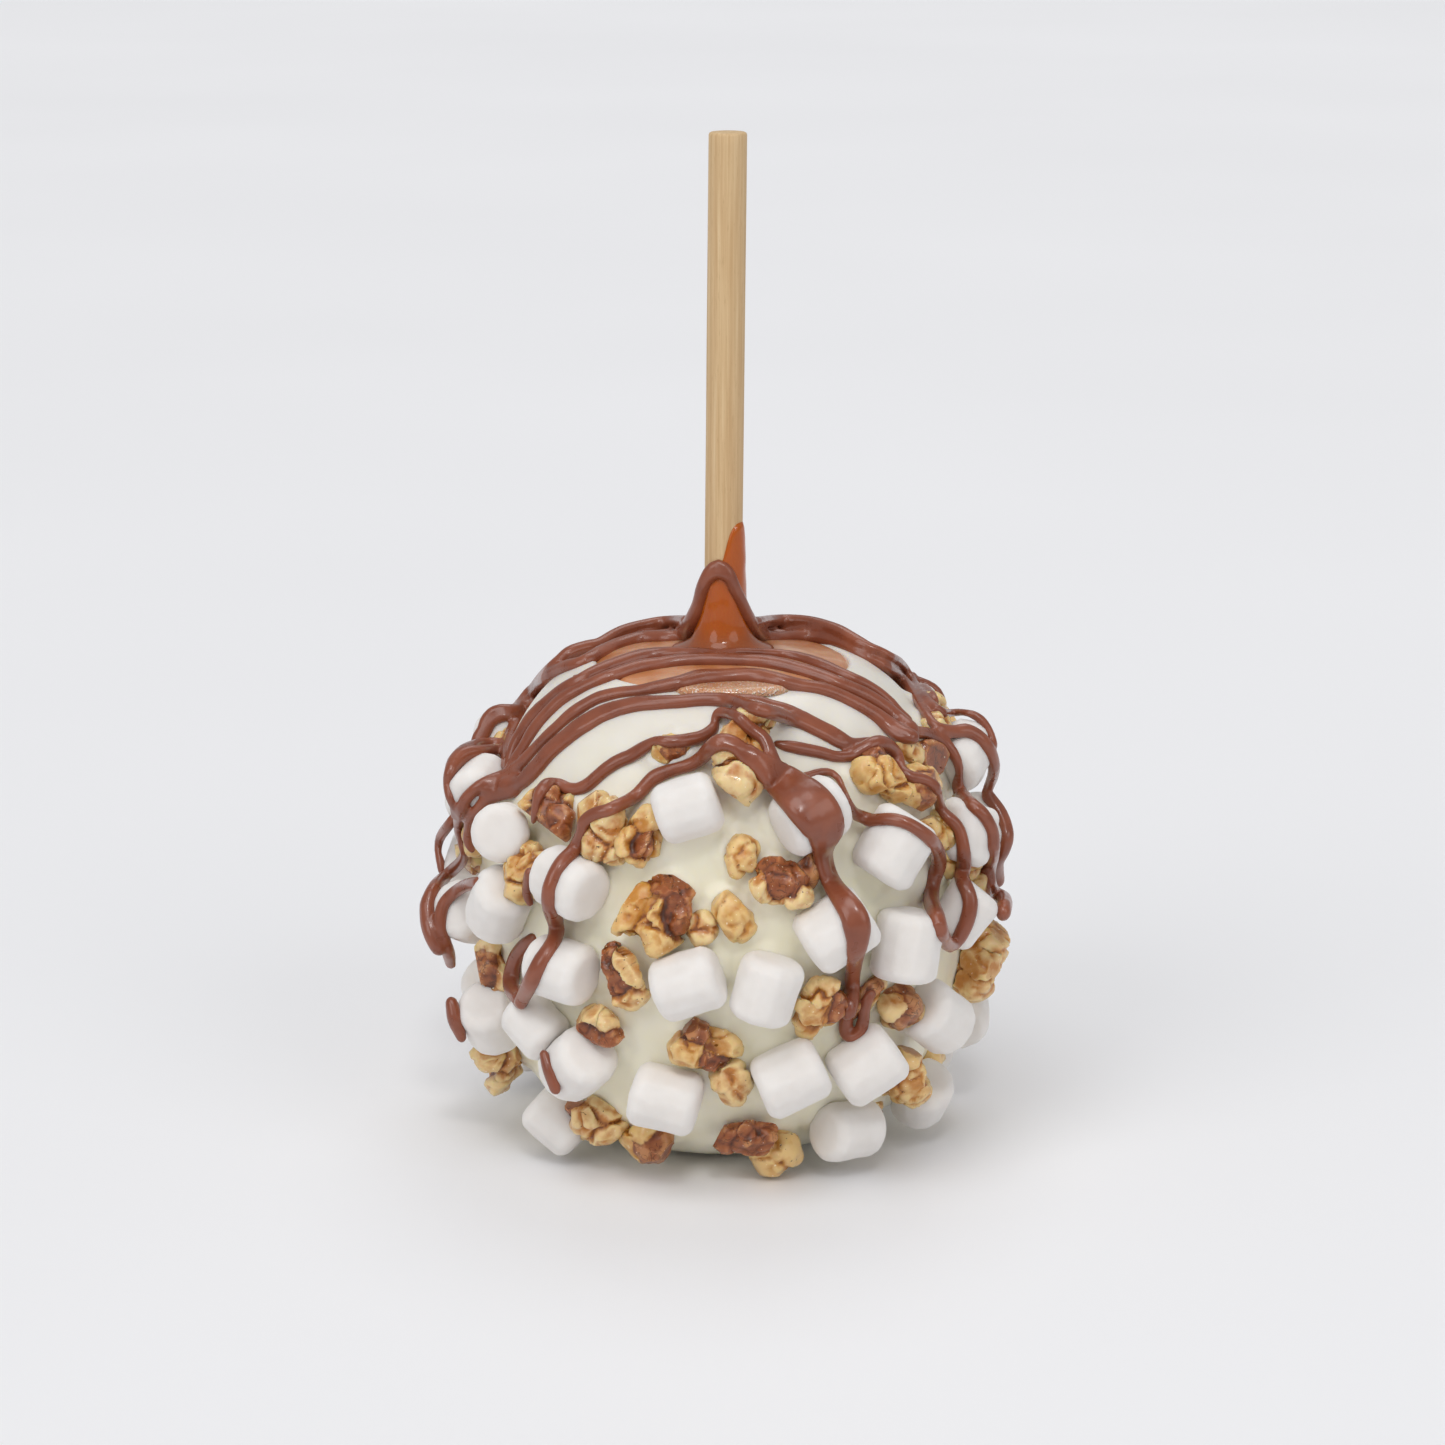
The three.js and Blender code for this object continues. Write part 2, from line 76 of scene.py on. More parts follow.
STRAND_WIDTH = 12.0
STRANDS = {
    "brow": [
        (505, 786, 16), (522, 783, 16), (533, 773, 17), (542, 763, 16), (550, 753, 16), (560, 744, 16),
        (570, 736, 16), (580, 728, 17), (590, 722, 18), (600, 716, 18), (610, 712, 18), (620, 709, 17),
        (640, 705, 16), (660, 704, 15), (680, 703, 14), (700, 701, 14), (720, 701, 14), (740, 703, 16),
        (755, 706, 19), (770, 710, 19), (785, 714, 20), (800, 720, 19), (820, 730, 18), (830, 735, 18),
        (840, 741, 18), (850, 744, 12), (860, 742, 7), (872, 740, 5), (884, 742, 5),
    ],
    "second": [
        (498, 779), (510, 774), (520, 767), (530, 756, 11), (540, 745, 10), (550, 735, 10), (560, 726, 10),
        (570, 717, 11), (580, 710), (590, 704), (600, 699), (620, 694, 10), (640, 692, 10), (660, 689, 13),
        (680, 685, 14), (700, 680, 15), (720, 679, 14), (740, 678, 14), (760, 679, 14), (780, 683, 14),
        (800, 687), (820, 690), (840, 697, 13), (860, 707, 14), (875, 716, 15), (888, 726, 16),
        (900, 735, 17), (910, 738, 14),
    ],
    "third_upper": [
        (509, 769, 8), (512, 757, 9), (517, 744, 10), (524, 732, 10), (532, 720, 11), (541, 710, 11),
        (550, 701, 10), (560, 692, 10), (570, 686, 11), (580, 681, 11), (590, 676), (600, 672, 13),
        (620, 665, 13), (640, 659, 13), (660, 656), (680, 654, 10), (700, 653, 8), (720, 653, 6),
        (740, 652, 6), (760, 653, 6), (780, 655, 7), (800, 659, 9), (820, 666, 10), (840, 674, 9),
        (860, 683, 9), (870, 688, 8), (880, 695, 8), (890, 704, 8), (898, 713, 8), (906, 721, 9),
    ],
    "third_lower": [
        (511, 769, 8), (519, 757, 10), (526, 746, 10), (533, 734, 11), (542, 722, 11), (551, 712, 11),
        (561, 702, 11), (571, 695, 11), (581, 690, 11), (591, 685, 11), (602, 681), (620, 675, 13),
        (640, 669, 13), (660, 666), (680, 663), (700, 662, 13), (720, 662, 13), (740, 663, 13),
        (760, 664, 14), (780, 667, 14), (800, 672, 14), (820, 678, 13), (840, 686, 13), (860, 694, 13),
        (875, 702, 13), (888, 712, 14), (898, 722, 15), (908, 731, 14),
    ],
    "arch": [
        (507, 766, 9), (508, 756, 9), (509, 747, 9), (512, 735, 9), (517, 724, 9), (523, 714, 9),
        (529, 704, 10), (534, 695, 9), (541, 686, 9), (550, 678, 11), (560, 672, 11), (570, 668, 11),
        (580, 665, 10), (590, 661), (600, 655, 13), (610, 650), (620, 646), (630, 643), (640, 641),
        (652, 640), (665, 640), (675, 640), (683, 637, 16), (690, 631, 17), (695, 622, 14), (699, 610, 11),
        (701, 600, 10), (703, 590, 11), (707, 580, 13), (712, 573, 17), (719, 569, 20), (726, 573, 17),
        (731, 580, 13), (735, 590), (740, 600, 11), (744, 610, 11), (748, 620, 11), (752, 629), (759, 636),
        (768, 639, 10), (780, 639, 8), (790, 638, 9), (800, 638, 10), (812, 639, 10), (825, 641, 10),
        (840, 645, 10), (850, 650), (860, 656), (868, 660, 10), (876, 663, 8), (885, 668, 8),
        (893, 673, 8), (900, 679, 8), (907, 687, 9), (914, 696, 9), (921, 707, 9), (927, 716, 9),
        (933, 724, 9), (939, 729), (946, 731, 14), (955, 732, 14), (965, 731, 14), (973, 734, 13),
        (981, 740, 13), (987, 748), (991, 756, 11), (993, 766, 10), (992, 775, 9), (989, 784, 8),
        (986, 792, 8), (987, 799, 8),
    ],
    "crown": [
        (688, 623, 9), (675, 623, 9), (660, 624, 9), (645, 626, 8), (632, 629, 8), (620, 633, 8),
        (610, 639, 9), (600, 645, 9), (590, 649, 11), (580, 651, 10), (570, 655, 10), (560, 662, 8),
        (551, 670, 8), (541, 681, 9), (532, 692, 9), (525, 702, 9), (519, 713, 8), (513, 725, 8),
        (508, 737, 8), (506, 750, 8), (505, 763, 7),
    ],
    "crown_inner": [
        (690, 630, 9), (672, 631, 9), (655, 631, 9), (640, 632, 8), (628, 636, 7), (616, 640, 7),
        (606, 644, 6),
    ],
    "top_hook": [
        (534, 821, 4), (536, 813, 7), (537, 804, 7), (539, 797, 9), (543, 790, 11), (548, 785, 10),
        (554, 783, 7), (560, 785, 9), (567, 789, 11), (576, 790), (583, 788, 13), (590, 784, 14),
        (600, 775, 14), (610, 767, 15), (620, 761, 15), (630, 757, 15), (640, 751, 15), (648, 746),
        (656, 741, 8), (665, 742, 11), (675, 742), (690, 740, 13), (700, 738, 13), (708, 734, 13),
        (713, 729, 11), (715, 723, 7), (716, 717, 8), (720, 713, 10), (728, 714, 10), (735, 716, 11),
        (741, 719), (747, 726, 13), (753, 731, 13), (760, 736, 14), (765, 742, 13), (768, 750, 13),
        (771, 758, 13), (775, 768, 14),
    ],
    "long_left": [
        (522, 1002, 13), (531, 983, 16), (541, 962, 16), (554, 942, 16), (557, 922, 15), (551, 905, 14),
        (550, 890, 14), (556, 873, 14), (564, 862, 15), (572, 854, 13), (577, 847, 11), (580, 839, 9),
        (582, 831, 8), (584, 823, 10), (590, 817), (598, 813), (607, 811), (620, 805, 13), (632, 799, 14),
        (640, 793, 15), (647, 785, 15), (653, 779, 16), (660, 775, 16), (670, 771, 14), (680, 768, 13),
        (692, 764, 14), (702, 758, 15), (710, 751, 16), (720, 744, 16), (728, 744, 17), (736, 747, 16),
        (745, 755, 17), (752, 763, 17), (758, 772, 17), (766, 781, 17),
    ],
    "left_turn": [
        (521, 1003, 13), (512, 985, 16), (516, 960, 16), (525, 946, 16), (534, 938),
    ],
    "pool": [
        (750, 750, 9), (762, 764, 20), (776, 778, 31), (790, 790, 40), (805, 802, 47), (817, 815, 46),
        (823, 828, 40), (822, 840, 27), (822, 852, 20), (824, 866, 20), (829, 879, 20), (836, 890, 21),
        (845, 902, 24), (853, 914, 26), (857, 927, 27), (857, 942, 22), (854, 957, 18), (852, 975, 16),
        (851, 992, 16), (848, 1010, 16),
    ],
    "pool_hook": [
        (849, 1000, 16), (847, 1016, 16), (845, 1027, 15), (848, 1035, 14), (854, 1037, 13), (860, 1033),
        (863, 1023, 11), (864, 1010, 11), (867, 1000, 11), (871, 994, 9),
    ],
    "right_loop": [
        (777, 744, 6), (783, 746, 9), (790, 747, 11), (800, 749), (820, 753), (835, 757, 11),
        (845, 757, 11), (852, 756, 11), (861, 751), (870, 747), (878, 745), (886, 747), (893, 752),
        (897, 758), (899, 765), (902, 771), (906, 775), (913, 778, 11), (921, 779, 10), (929, 782, 9),
        (935, 787, 9), (937, 795, 7), (938, 803, 8), (941, 811, 9), (947, 817, 10), (953, 822, 11),
        (958, 828, 11), (961, 836), (963, 846, 14), (964, 862, 16), (962, 878, 16), (968, 893, 16),
        (970, 905, 16), (966, 922, 16), (958, 938, 15), (950, 945, 13), (942, 937, 13), (935, 917, 14),
        (930, 900, 15), (932, 880, 15), (938, 862, 15), (932, 842, 14), (912, 826, 13), (895, 820, 13),
        (880, 820), (872, 821), (862, 818, 11), (854, 814, 9), (850, 806, 5), (846, 797, 4), (842, 788, 4),
        (838, 779, 5), (831, 773, 6), (822, 772, 7), (812, 775, 8), (802, 778, 8),
    ],
    "right_fall": [
        (905, 733), (915, 733), (925, 734, 13), (935, 737, 13), (943, 741, 13), (950, 749), (956, 758, 10),
        (959, 767, 8), (959, 775, 7), (958, 784, 11), (961, 793), (966, 801, 13), (973, 807, 13),
        (981, 813, 13), (987, 821), (991, 830), (992, 840), (990, 855, 13), (985, 875, 14), (991, 892, 14),
        (1003, 900, 14), (1002, 912),
    ],
    "right_edge": [
        (752, 623, 9), (768, 622, 9), (782, 622, 9), (800, 622, 8), (815, 624, 8), (830, 629, 9),
        (840, 633, 9), (850, 639, 9), (860, 645, 9), (870, 649, 7), (880, 652, 6), (890, 657, 6),
        (898, 662, 7), (906, 671, 7), (912, 680, 6), (919, 690, 7), (926, 700, 8), (933, 709, 10),
        (940, 714, 9), (948, 714, 6), (956, 713, 5), (964, 713, 4), (972, 715, 5), (980, 720, 6),
        (986, 727, 6), (990, 735, 6), (993, 745, 6),
    ],
    "crown_right": [
        (756, 629, 9), (775, 630, 9), (790, 630, 9), (805, 629, 8), (820, 631, 8), (835, 635, 8),
        (850, 642, 8), (860, 647, 8), (869, 652, 7),
    ],
    "right_bump": [
        (917, 689, 5), (924, 688, 6), (930, 692, 5), (934, 697, 5), (936, 703, 5),
    ],
    "right_far": [
        (988, 798, 14), (1000, 815, 14), (1006, 835, 14), (1002, 850, 14), (996, 862, 14), (997, 880),
    ],
    "left_merge": [
        (520, 780, 16), (508, 784, 20), (496, 786, 18), (487, 790),
    ],
    "left_outer": [
        (510, 774, 13), (500, 778, 14), (490, 781, 13), (480, 786, 13), (472, 792), (466, 799), (463, 807),
        (461, 815, 11), (460, 823, 9), (460, 831, 7), (462, 839, 6), (464, 847, 7), (465, 854, 8),
        (462, 861, 11), (456, 867), (449, 874, 13), (443, 880, 13), (437, 887, 14), (433, 896, 14),
        (430, 905, 14), (430, 915, 13), (431, 925, 13), (434, 936), (439, 946, 11),
    ],
    "left_inner": [
        (521, 789, 14), (510, 791, 16), (500, 793, 16), (492, 796, 15), (485, 801, 13), (479, 808, 11),
        (474, 814, 11), (470, 822, 10), (469, 830, 9), (468, 838, 9), (470, 845, 8), (472, 849, 6),
    ],
    "left_back": [
        (454, 818, 8), (450, 824, 9), (445, 831, 9), (441, 838, 8), (439, 846, 6), (439, 854, 5),
        (441, 861, 6), (443, 870, 6),
    ],
    "left_drip": [
        (479, 883, 10), (467, 886), (459, 890), (451, 896), (445, 903), (442, 911), (441, 919), (441, 927),
        (443, 935), (446, 943), (449, 952, 11), (451, 963, 9),
    ],
    "left_crest": [
        (508, 746, 15), (500, 749, 22), (490, 749, 22), (480, 750, 20), (470, 753, 17), (462, 758, 15),
        (456, 764, 12), (452, 771, 9), (449, 779, 7), (449, 788, 6), (451, 797, 6), (454, 806, 5),
        (455, 815, 5),
    ],
    "left_ear": [
        (539, 686, 6), (531, 690, 8), (525, 697, 8), (520, 705, 10), (516, 711, 14), (508, 713, 17),
        (500, 714, 19), (493, 717, 19), (488, 723, 18), (485, 731, 17), (481, 738, 18), (478, 745, 16),
    ],
    "dab_upper": [
        (530, 873, 7), (528, 883, 8), (527, 894, 8), (530, 902, 7),
    ],
    "dab_lower": [
        (545, 1055, 7), (550, 1070, 10), (556, 1088, 9),
    ],
    "dab_left": [
        (453, 1004, 9), (457, 1020, 11), (462, 1036, 7),
    ],
}

# Strands that run over the far side of the top, each at so many millimetres behind the stick.
FAR_STRANDS = [16.0, 20.5, 25.0]

# Front strands repeated round the back: turn and drop in degrees, so that no two hang alike.
BACK_REPEATS = {
    "brow": (4, 3),
    "second": (-3, 4),
    "third_lower": (3, 2),
    "top_hook": (9, -2),
    "long_left": (-7, 3),
    "left_turn": (-7, 3),
    "pool": (14, 1),
    "right_loop": (6, -3),
    "right_fall": (-5, 2),
    "left_outer": (5, 0),
    "left_inner": (-6, 4),
    "left_drip": (4, -5),
    "left_crest": (-14, 2),
}

# --- Small helpers -----------------------------------------------------------------


def arrays_of(mesh):
    """A mesh's points in millimetres, and its triangles."""
    mesh.calc_loop_triangles()
    points = np.empty(len(mesh.vertices) * 3)
    mesh.vertices.foreach_get("co", points)
    triangles = np.empty(len(mesh.loop_triangles) * 3, np.int32)
    mesh.loop_triangles.foreach_get("vertices", triangles)
    return points.reshape(-1, 3), triangles.reshape(-1, 3)


def node_arrays(name):
    points, triangles = arrays_of(NODES[name].data)
    return points / MM, triangles


def joined(shapes):
    """Several (points, faces) as one."""
    points, faces, start = [], [], 0
    for shape_points, shape_faces in shapes:
        points.append(shape_points)
        faces.append(np.asarray(shape_faces) + start)
        start += len(shape_points)
    return np.concatenate(points), np.concatenate(faces)


def mesh_of(name, points, faces):
    mesh = bpy.data.meshes.new(name)
    mesh.from_pydata(points.tolist(), [], faces.tolist())
    return mesh


def shown(name, data):
    """A new object, linked into the scene."""
    made = bpy.data.objects.new(name, data)
    bpy.context.scene.collection.objects.link(made)
    return made


def modified(points, faces, *settings):
    """The shape after a row of Blender modifiers, each given as (kind, {setting: value})."""
    worker = shown("worker", mesh_of("worker", points, faces))
    for kind, values in settings:
        modifier = worker.modifiers.new(kind, kind)
        for key, value in values.items():
            setattr(modifier, key, value)
    graph = bpy.context.evaluated_depsgraph_get()
    result = bpy.data.meshes.new_from_object(worker.evaluated_get(graph))
    bpy.data.objects.remove(worker)
    return arrays_of(result)


def skin_round(points, faces, voxel, smoothing):
    """One smooth closed skin round closed shapes that may overlap."""
    remesh = ("REMESH", {"mode": "VOXEL", "voxel_size": voxel})
    smooth = ("SMOOTH", {"factor": 0.5, "iterations": smoothing})
    return modified(points, faces, remesh, smooth)


def thinned(points, faces, most):
    """The shape with at most so many triangles."""
    if len(faces) <= most:
        return points, faces
    return modified(points, faces, ("DECIMATE", {"ratio": most / len(faces)}))


def without_crumbs(points, faces, least):
    """The shape without loose bits of fewer than so many points."""
    owner = np.arange(len(points))
    while True:
        lowest = owner.copy()
        for start, end in ((0, 1), (1, 2), (2, 0)):
            np.minimum.at(lowest, faces[:, start], owner[faces[:, end]])
            np.minimum.at(lowest, faces[:, end], owner[faces[:, start]])
        lowest = lowest[lowest]
        if np.array_equal(lowest, owner):
            break
        owner = lowest
    kept = np.bincount(owner, minlength=len(points))[owner] >= least
    renumbered = np.cumsum(kept) - 1
    return points[kept], renumbered[faces[kept[faces[:, 0]]]]


def normals_of(points, faces):
    first, second, third = points[faces[:, 0]], points[faces[:, 1]], points[faces[:, 2]]
    across = np.cross(second - first, third - first)
    total = np.zeros_like(points)
    for corner in faces.T:
        for axis in range(3):
            total[:, axis] += np.bincount(corner, across[:, axis], len(points))
    return unit(total)


def ridges_of(points, faces, rounds, depth):
    """1 on ridges and 0 in hollows that are about so many millimetres deep, 0.5 on plain stretches."""
    edges = np.concatenate([faces[:, [0, 1]], faces[:, [1, 2]], faces[:, [2, 0]]])
    start, end = edges.T
    count = np.maximum(np.bincount(start, minlength=len(points)), 1)
    soft = points
    for _ in range(rounds):
        total = [np.bincount(start, soft[end, axis], len(points)) for axis in range(3)]
        soft = 0.5 * soft + 0.5 * np.stack(total, -1) / count[:, None]
    proud = np.sum((points - soft) * normals_of(points, faces), axis=1)
    return np.clip(0.5 + 0.5 * proud / depth, 0, 1)


def unit(vectors):
    return vectors / np.maximum(np.linalg.norm(vectors, axis=-1, keepdims=True), 1e-9)


def lattice(cell, seed):
    """A repeatable number from -1 to 1 for each cell of a grid; the large constants only scramble it."""
    mixed = cell[..., 0] * 73856093 ^ cell[..., 1] * 19349663 ^ cell[..., 2] * 83492791
    mixed = mixed ^ seed * 26544357
    mixed = ((mixed ^ (mixed >> 13)) * 1274126177) & 0xFFFFFFFF
    mixed ^= mixed >> 16
    return (mixed & 0xFFFF) / 0x7FFF - 1


def noise(points, size, seed=0):
    """Smooth noise from about -1 to 1, whose features are about size millimetres across."""
    scaled = points / size + 500
    cell = np.floor(scaled).astype(np.int64)
    part = scaled - cell
    fade = part**3 * (part * (part * 6 - 15) + 10)
    total = np.zeros(len(points))
    for corner in itertools.product((0, 1), repeat=3):
        slope = np.stack([lattice(cell + corner, seed * 3 + axis) for axis in range(3)], -1)
        weight = np.prod(np.where(corner, fade, 1 - fade), -1)
        total += weight * np.sum(slope * (part - corner), -1)
    return 1.5 * total


def smoothstep(low, high, value):
    part = np.clip((value - low) / (high - low), 0, 1)
    return part * part * (3 - 2 * part)


def turn(columns):
    """Evenly spaced angles round a circle, in radians."""
    return np.arange(columns) / columns * 2 * np.pi


def rings_of(radius, azimuth, height):
    """Points round the Z axis, azimuth in radians."""
    east = radius * np.sin(azimuth)
    return np.stack([east, -radius * np.cos(azimuth), np.broadcast_to(height, east.shape)], -1)


def piece(name, points, faces, material, slot, *replaced, **values):
    """Makes a smooth visible piece, in metres, that rides on the apple; values are per-point attributes."""
    mesh = mesh_of(name, points * MM, faces)
    mesh.validate()
    mesh.shade_smooth()
    mesh.materials.append(material)
    for key, numbers in values.items():
        attribute = mesh.attributes.new(key, "FLOAT", "POINT")
        attribute.data.foreach_set("value", numbers.astype(np.float32))
    made = shown(name, mesh)
    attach(made, "root")
    if replaced:
        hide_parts(*replaced)
    return made


def grid_faces(rows, columns):
    """Triangles for rows of points, each row a ring that closes on itself."""
    row, column = np.meshgrid(np.arange(rows - 1), np.arange(columns), indexing="ij")
    start = row * columns
    beside = (column + 1) % columns
    lower = [start + column, start + beside, start + columns + beside]
    upper = [start + column, start + columns + beside, start + columns + column]
    return np.concatenate([np.stack(part, -1).reshape(-1, 3) for part in (lower, upper)])


def closed_grid(grid):
    """A closed shape from rows of rings; the first and last ring are each filled with a fan."""
    rows, columns = grid.shape[:2]
    points = grid.reshape(-1, 3)
    triangles = grid_faces(rows, columns)
    first, last = len(points), len(points) + 1
    around = np.arange(columns)
    beside = (around + 1) % columns
    start_fan = np.stack([np.full(columns, first), beside, around], -1)
    end = (rows - 1) * columns
    end_fan = np.stack([np.full(columns, last), end + around, end + beside], -1)
    centres = np.stack([grid[0].mean(0), grid[-1].mean(0)])
    return np.concatenate([points, centres]), np.concatenate([triangles, start_fan, end_fan])


# --- The dipped apple's shape ------------------------------------------------------


def bezier(controls, share):
    start, leave, arrive, end = (np.array(point, float) for point in controls)
    left = 1 - share[:, None]
    right = share[:, None]
    return left**3 * start + 3 * left**2 * right * leave + 3 * left * right**2 * arrive + right**3 * end


LOWER_SIDE = [(FOOT_RADIUS, 0), (31.5, 0), (BELLY_RADIUS, 18), (BELLY_RADIUS, BELLY_HEIGHT)]
UPPER_SIDE = [(BELLY_RADIUS, BELLY_HEIGHT), (BELLY_RADIUS, 60), (34, 77.5), (RIM_RADIUS, RIM_HEIGHT)]
SWELLINGS = [(2, 0.008, 0.7), (3, 0.006, 2)]  # times round the apple, share of the radius, start


def side_outline(steps, offset=0.0):
    """(radius, height) from the foot up to the rim, evenly spaced, moved outwards by offset."""
    fine = np.linspace(0, 1, 200)
    line = np.concatenate([bezier(LOWER_SIDE, fine)[:-1], bezier(UPPER_SIDE, fine)])
    along = unit(np.gradient(line, axis=0))
    line = line + offset * np.stack([along[:, 1], -along[:, 0]], -1)
    length = np.concatenate([[0], np.cumsum(np.linalg.norm(np.diff(line, axis=0), axis=1))])
    wanted = np.linspace(0, length[-1], steps)
    return np.stack([np.interp(wanted, length, line[:, axis]) for axis in range(2)], -1)


def unevenness(azimuth, height):
    """The CAD apple's own lopsidedness: its round sections swell and narrow by up to about a percent."""
    fullness = np.sin(np.pi * np.clip(height, 0, RIM_HEIGHT) / RIM_HEIGHT)
    return 1 + fullness * sum(share * np.sin(times * azimuth + start) for times, share, start in SWELLINGS)


def turned(outline, columns):
    """Rings of points round the Z axis, one for each (radius, height)."""
    azimuth = turn(columns)
    radius = outline[:, :1] * unevenness(azimuth[None], outline[:, 1:])
    return rings_of(radius, azimuth, outline[:, 1:])


def flat_foot(height):
    """(radius, height) of the rings that divide up the middle of a flat foot."""
    return np.array([[2.0, height], [9.0, height]])


def lean(points):
    """Moves points that belong to the stick's axis sideways, as the stick leans."""
    moved = points.copy()
    moved[..., 0] += np.tan(math.radians(STICK_LEAN)) * (points[..., 2] - RIM_HEIGHT)
    return moved


def seat(azimuth, height):
    """A place on the coat: its point, and the directions level, up and outwards there."""
    line = side_outline(400)
    angle = math.radians(azimuth)
    radius = np.interp(height, line[:, 1], line[:, 0]) * unevenness(angle, height)
    near = int(np.clip(np.searchsorted(line[:, 1], height), 1, len(line) - 1))
    slope = unit(line[near] - line[near - 1])
    around = np.array([math.sin(angle), -math.cos(angle), 0])
    level = np.array([math.cos(angle), math.sin(angle), 0])
    up = around * slope[0] + np.array([0, 0, slope[1]])
    outward = around * slope[1] - np.array([0, 0, slope[0]])
    return around * radius + np.array([0, 0, height]), level, up, outward


# --- Materials ---------------------------------------------------------------------


# Where the Mix node keeps the colours that it takes and the one that it makes.
FIRST_COLOUR = 6
SECOND_COLOUR = 7
MIXED_COLOUR = 2


class Paint:
    """A node material under construction."""

    def __init__(self, name):
        self.material = bpy.data.materials.new(name)
        self.material.use_nodes = True
        self.tree = self.material.node_tree
        self.shader = self.tree.nodes["Principled BSDF"]
        self.place = self.add("ShaderNodeTexCoord").outputs["Object"]

    def add(self, kind, **settings):
        node = self.tree.nodes.new(kind)
        for key, value in settings.items():
            setattr(node, key, value)
        return node

    def set(self, node, values):
        for key, value in values.items():
            if isinstance(value, bpy.types.NodeSocket):
                self.tree.links.new(value, node.inputs[key])
            else:
                node.inputs[key].default_value = value
        return node

    def surface(self, **values):
        self.set(self.shader, {key.replace("_", " "): value for key, value in values.items()})

    def noise(self, size, detail=3.0, roughness=0.5, stretch=(1, 1, 1), warp=0.0):
        """Noise from 0 to 1 whose features are about size millimetres across."""
        scaled = self.set(self.add("ShaderNodeMapping"), {"Vector": self.place, "Scale": stretch})
        node = self.add("ShaderNodeTexNoise")
        values = {"Vector": scaled.outputs[0], "Scale": 1 / (size * MM), "Detail": detail}
        self.set(node, {**values, "Roughness": roughness, "Distortion": warp})
        return node.outputs["Fac"]

    def height(self, low, high):
        """0 below one height in millimetres and 1 above another."""
        up = self.set(self.add("ShaderNodeSeparateXYZ"), {"Vector": self.place}).outputs["Z"]
        node = self.add("ShaderNodeMapRange")
        return self.set(node, {"Value": up, "From Min": low * MM, "From Max": high * MM}).outputs["Result"]

    def attribute(self, name):
        return self.add("ShaderNodeAttribute", attribute_name=name).outputs["Fac"]

    def ramp(self, value, *stops):
        """Colours (sRGB hex) or numbers at given values, blended in between."""
        node = self.add("ShaderNodeValToRGB")
        elements = node.color_ramp.elements
        while len(elements) < len(stops):
            elements.new(0.5)
        for element, (position, colour) in zip(elements, stops):
            element.position = position
            element.color = linear(colour) if isinstance(colour, str) else (colour, colour, colour, 1)
        self.set(node, {"Fac": value})
        return node.outputs["Color"]

    def mix(self, share, first, second, blend="MIX"):
        node = self.add("ShaderNodeMix", data_type="RGBA", blend_type=blend)
        colours = {FIRST_COLOUR: as_colour(first), SECOND_COLOUR: as_colour(second)}
        self.set(node, {"Factor": share, **colours})
        return node.outputs[MIXED_COLOUR]

    def math(self, operation, first, second):
        node = self.set(self.add("ShaderNodeMath", operation=operation), {0: first, 1: second})
        return node.outputs[0]

    def bump(self, height, distance, strength=1.0, normal=None):
        """Small relief: distance is its depth in millimetres."""
        node = self.add("ShaderNodeBump")
        self.set(node, {"Height": height, "Distance": distance * MM, "Strength": strength})
        if normal:
            self.set(node, {"Normal": normal})
        return node.outputs["Normal"]


def linear(hex_colour):
    """An sRGB hex colour as the linear one that a node takes."""
    parts = [int(hex_colour[at : at + 2], 16) / 255 for at in (1, 3, 5)]
    bright = [part / 12.92 if part <= 0.04045 else ((part + 0.055) / 1.055) ** 2.4 for part in parts]
    return (*bright, 1)


def as_colour(value):
    return linear(value) if isinstance(value, str) else value


def white_chocolate():
    paint = Paint("white_chocolate")
    # Painted light: low down, where the coat lies in shade between the toppings, its colour is painted
    # lighter and yellower. On the shoulder, where the overhead light falls strongest, it is painted greyer
    # and darker. The noise in each is the coat's own uneven tone.
    low = paint.ramp(paint.noise(9, 2), (0.3, "#f3edd3"), (0.7, "#f8f2de"))
    shoulder_painted_darker = paint.ramp(paint.noise(9, 2), (0.3, "#e1dbcf"), (0.7, "#e7e2d9"))
    tone_with_painted_light = paint.mix(paint.ramp(paint.height(56, 78), (0.0, 0.0), (1.0, 1.0)), low, shoulder_painted_darker)
    relief = paint.bump(paint.noise(2.2, 2), 0.05)
    paint.surface(Base_Color=tone_with_painted_light, Roughness=0.42, Normal=relief, Subsurface_Weight=0.5,
                  Subsurface_Radius=(1.0, 0.9, 0.55), Subsurface_Scale=2.2 * MM, Coat_Weight=0.25,
                  Coat_Roughness=0.28)
    return paint.material


def marshmallow_foam():
    paint = Paint("marshmallow")
    tint = paint.ramp(paint.noise(4, 2), (0.25, "#e2ddd8"), (0.75, "#e9e5e1"))
    fine = paint.bump(paint.noise(0.35, 4, 0.65), 0.02)
    relief = paint.bump(paint.noise(1.6, 2), 0.06, normal=fine)
    paint.surface(Base_Color=tint, Roughness=0.75, Normal=relief, Subsurface_Weight=0.6,
                  Subsurface_Radius=(1.0, 0.92, 0.85), Subsurface_Scale=2.4 * MM, Sheen_Weight=0.15,
                  Sheen_Roughness=0.5)
    return paint.material


def milk_chocolate():
    paint = Paint("milk_chocolate")
    tone = paint.ramp(paint.noise(5, 3), (0.3, "#7b402a"), (0.7, "#915036"))
    gloss = paint.ramp(paint.noise(2.5, 2), (0.3, 0.26), (0.7, 0.37))
    relief = paint.bump(paint.noise(1.6, 1), 0.03)
    paint.surface(Base_Color=tone, Roughness=gloss, Normal=relief, Specular_IOR_Level=0.4,
                  Subsurface_Weight=0.05, Subsurface_Radius=(1.0, 0.5, 0.3), Subsurface_Scale=0.6 * MM,
                  Coat_Weight=0.4, Coat_Roughness=0.16)
    return paint.material


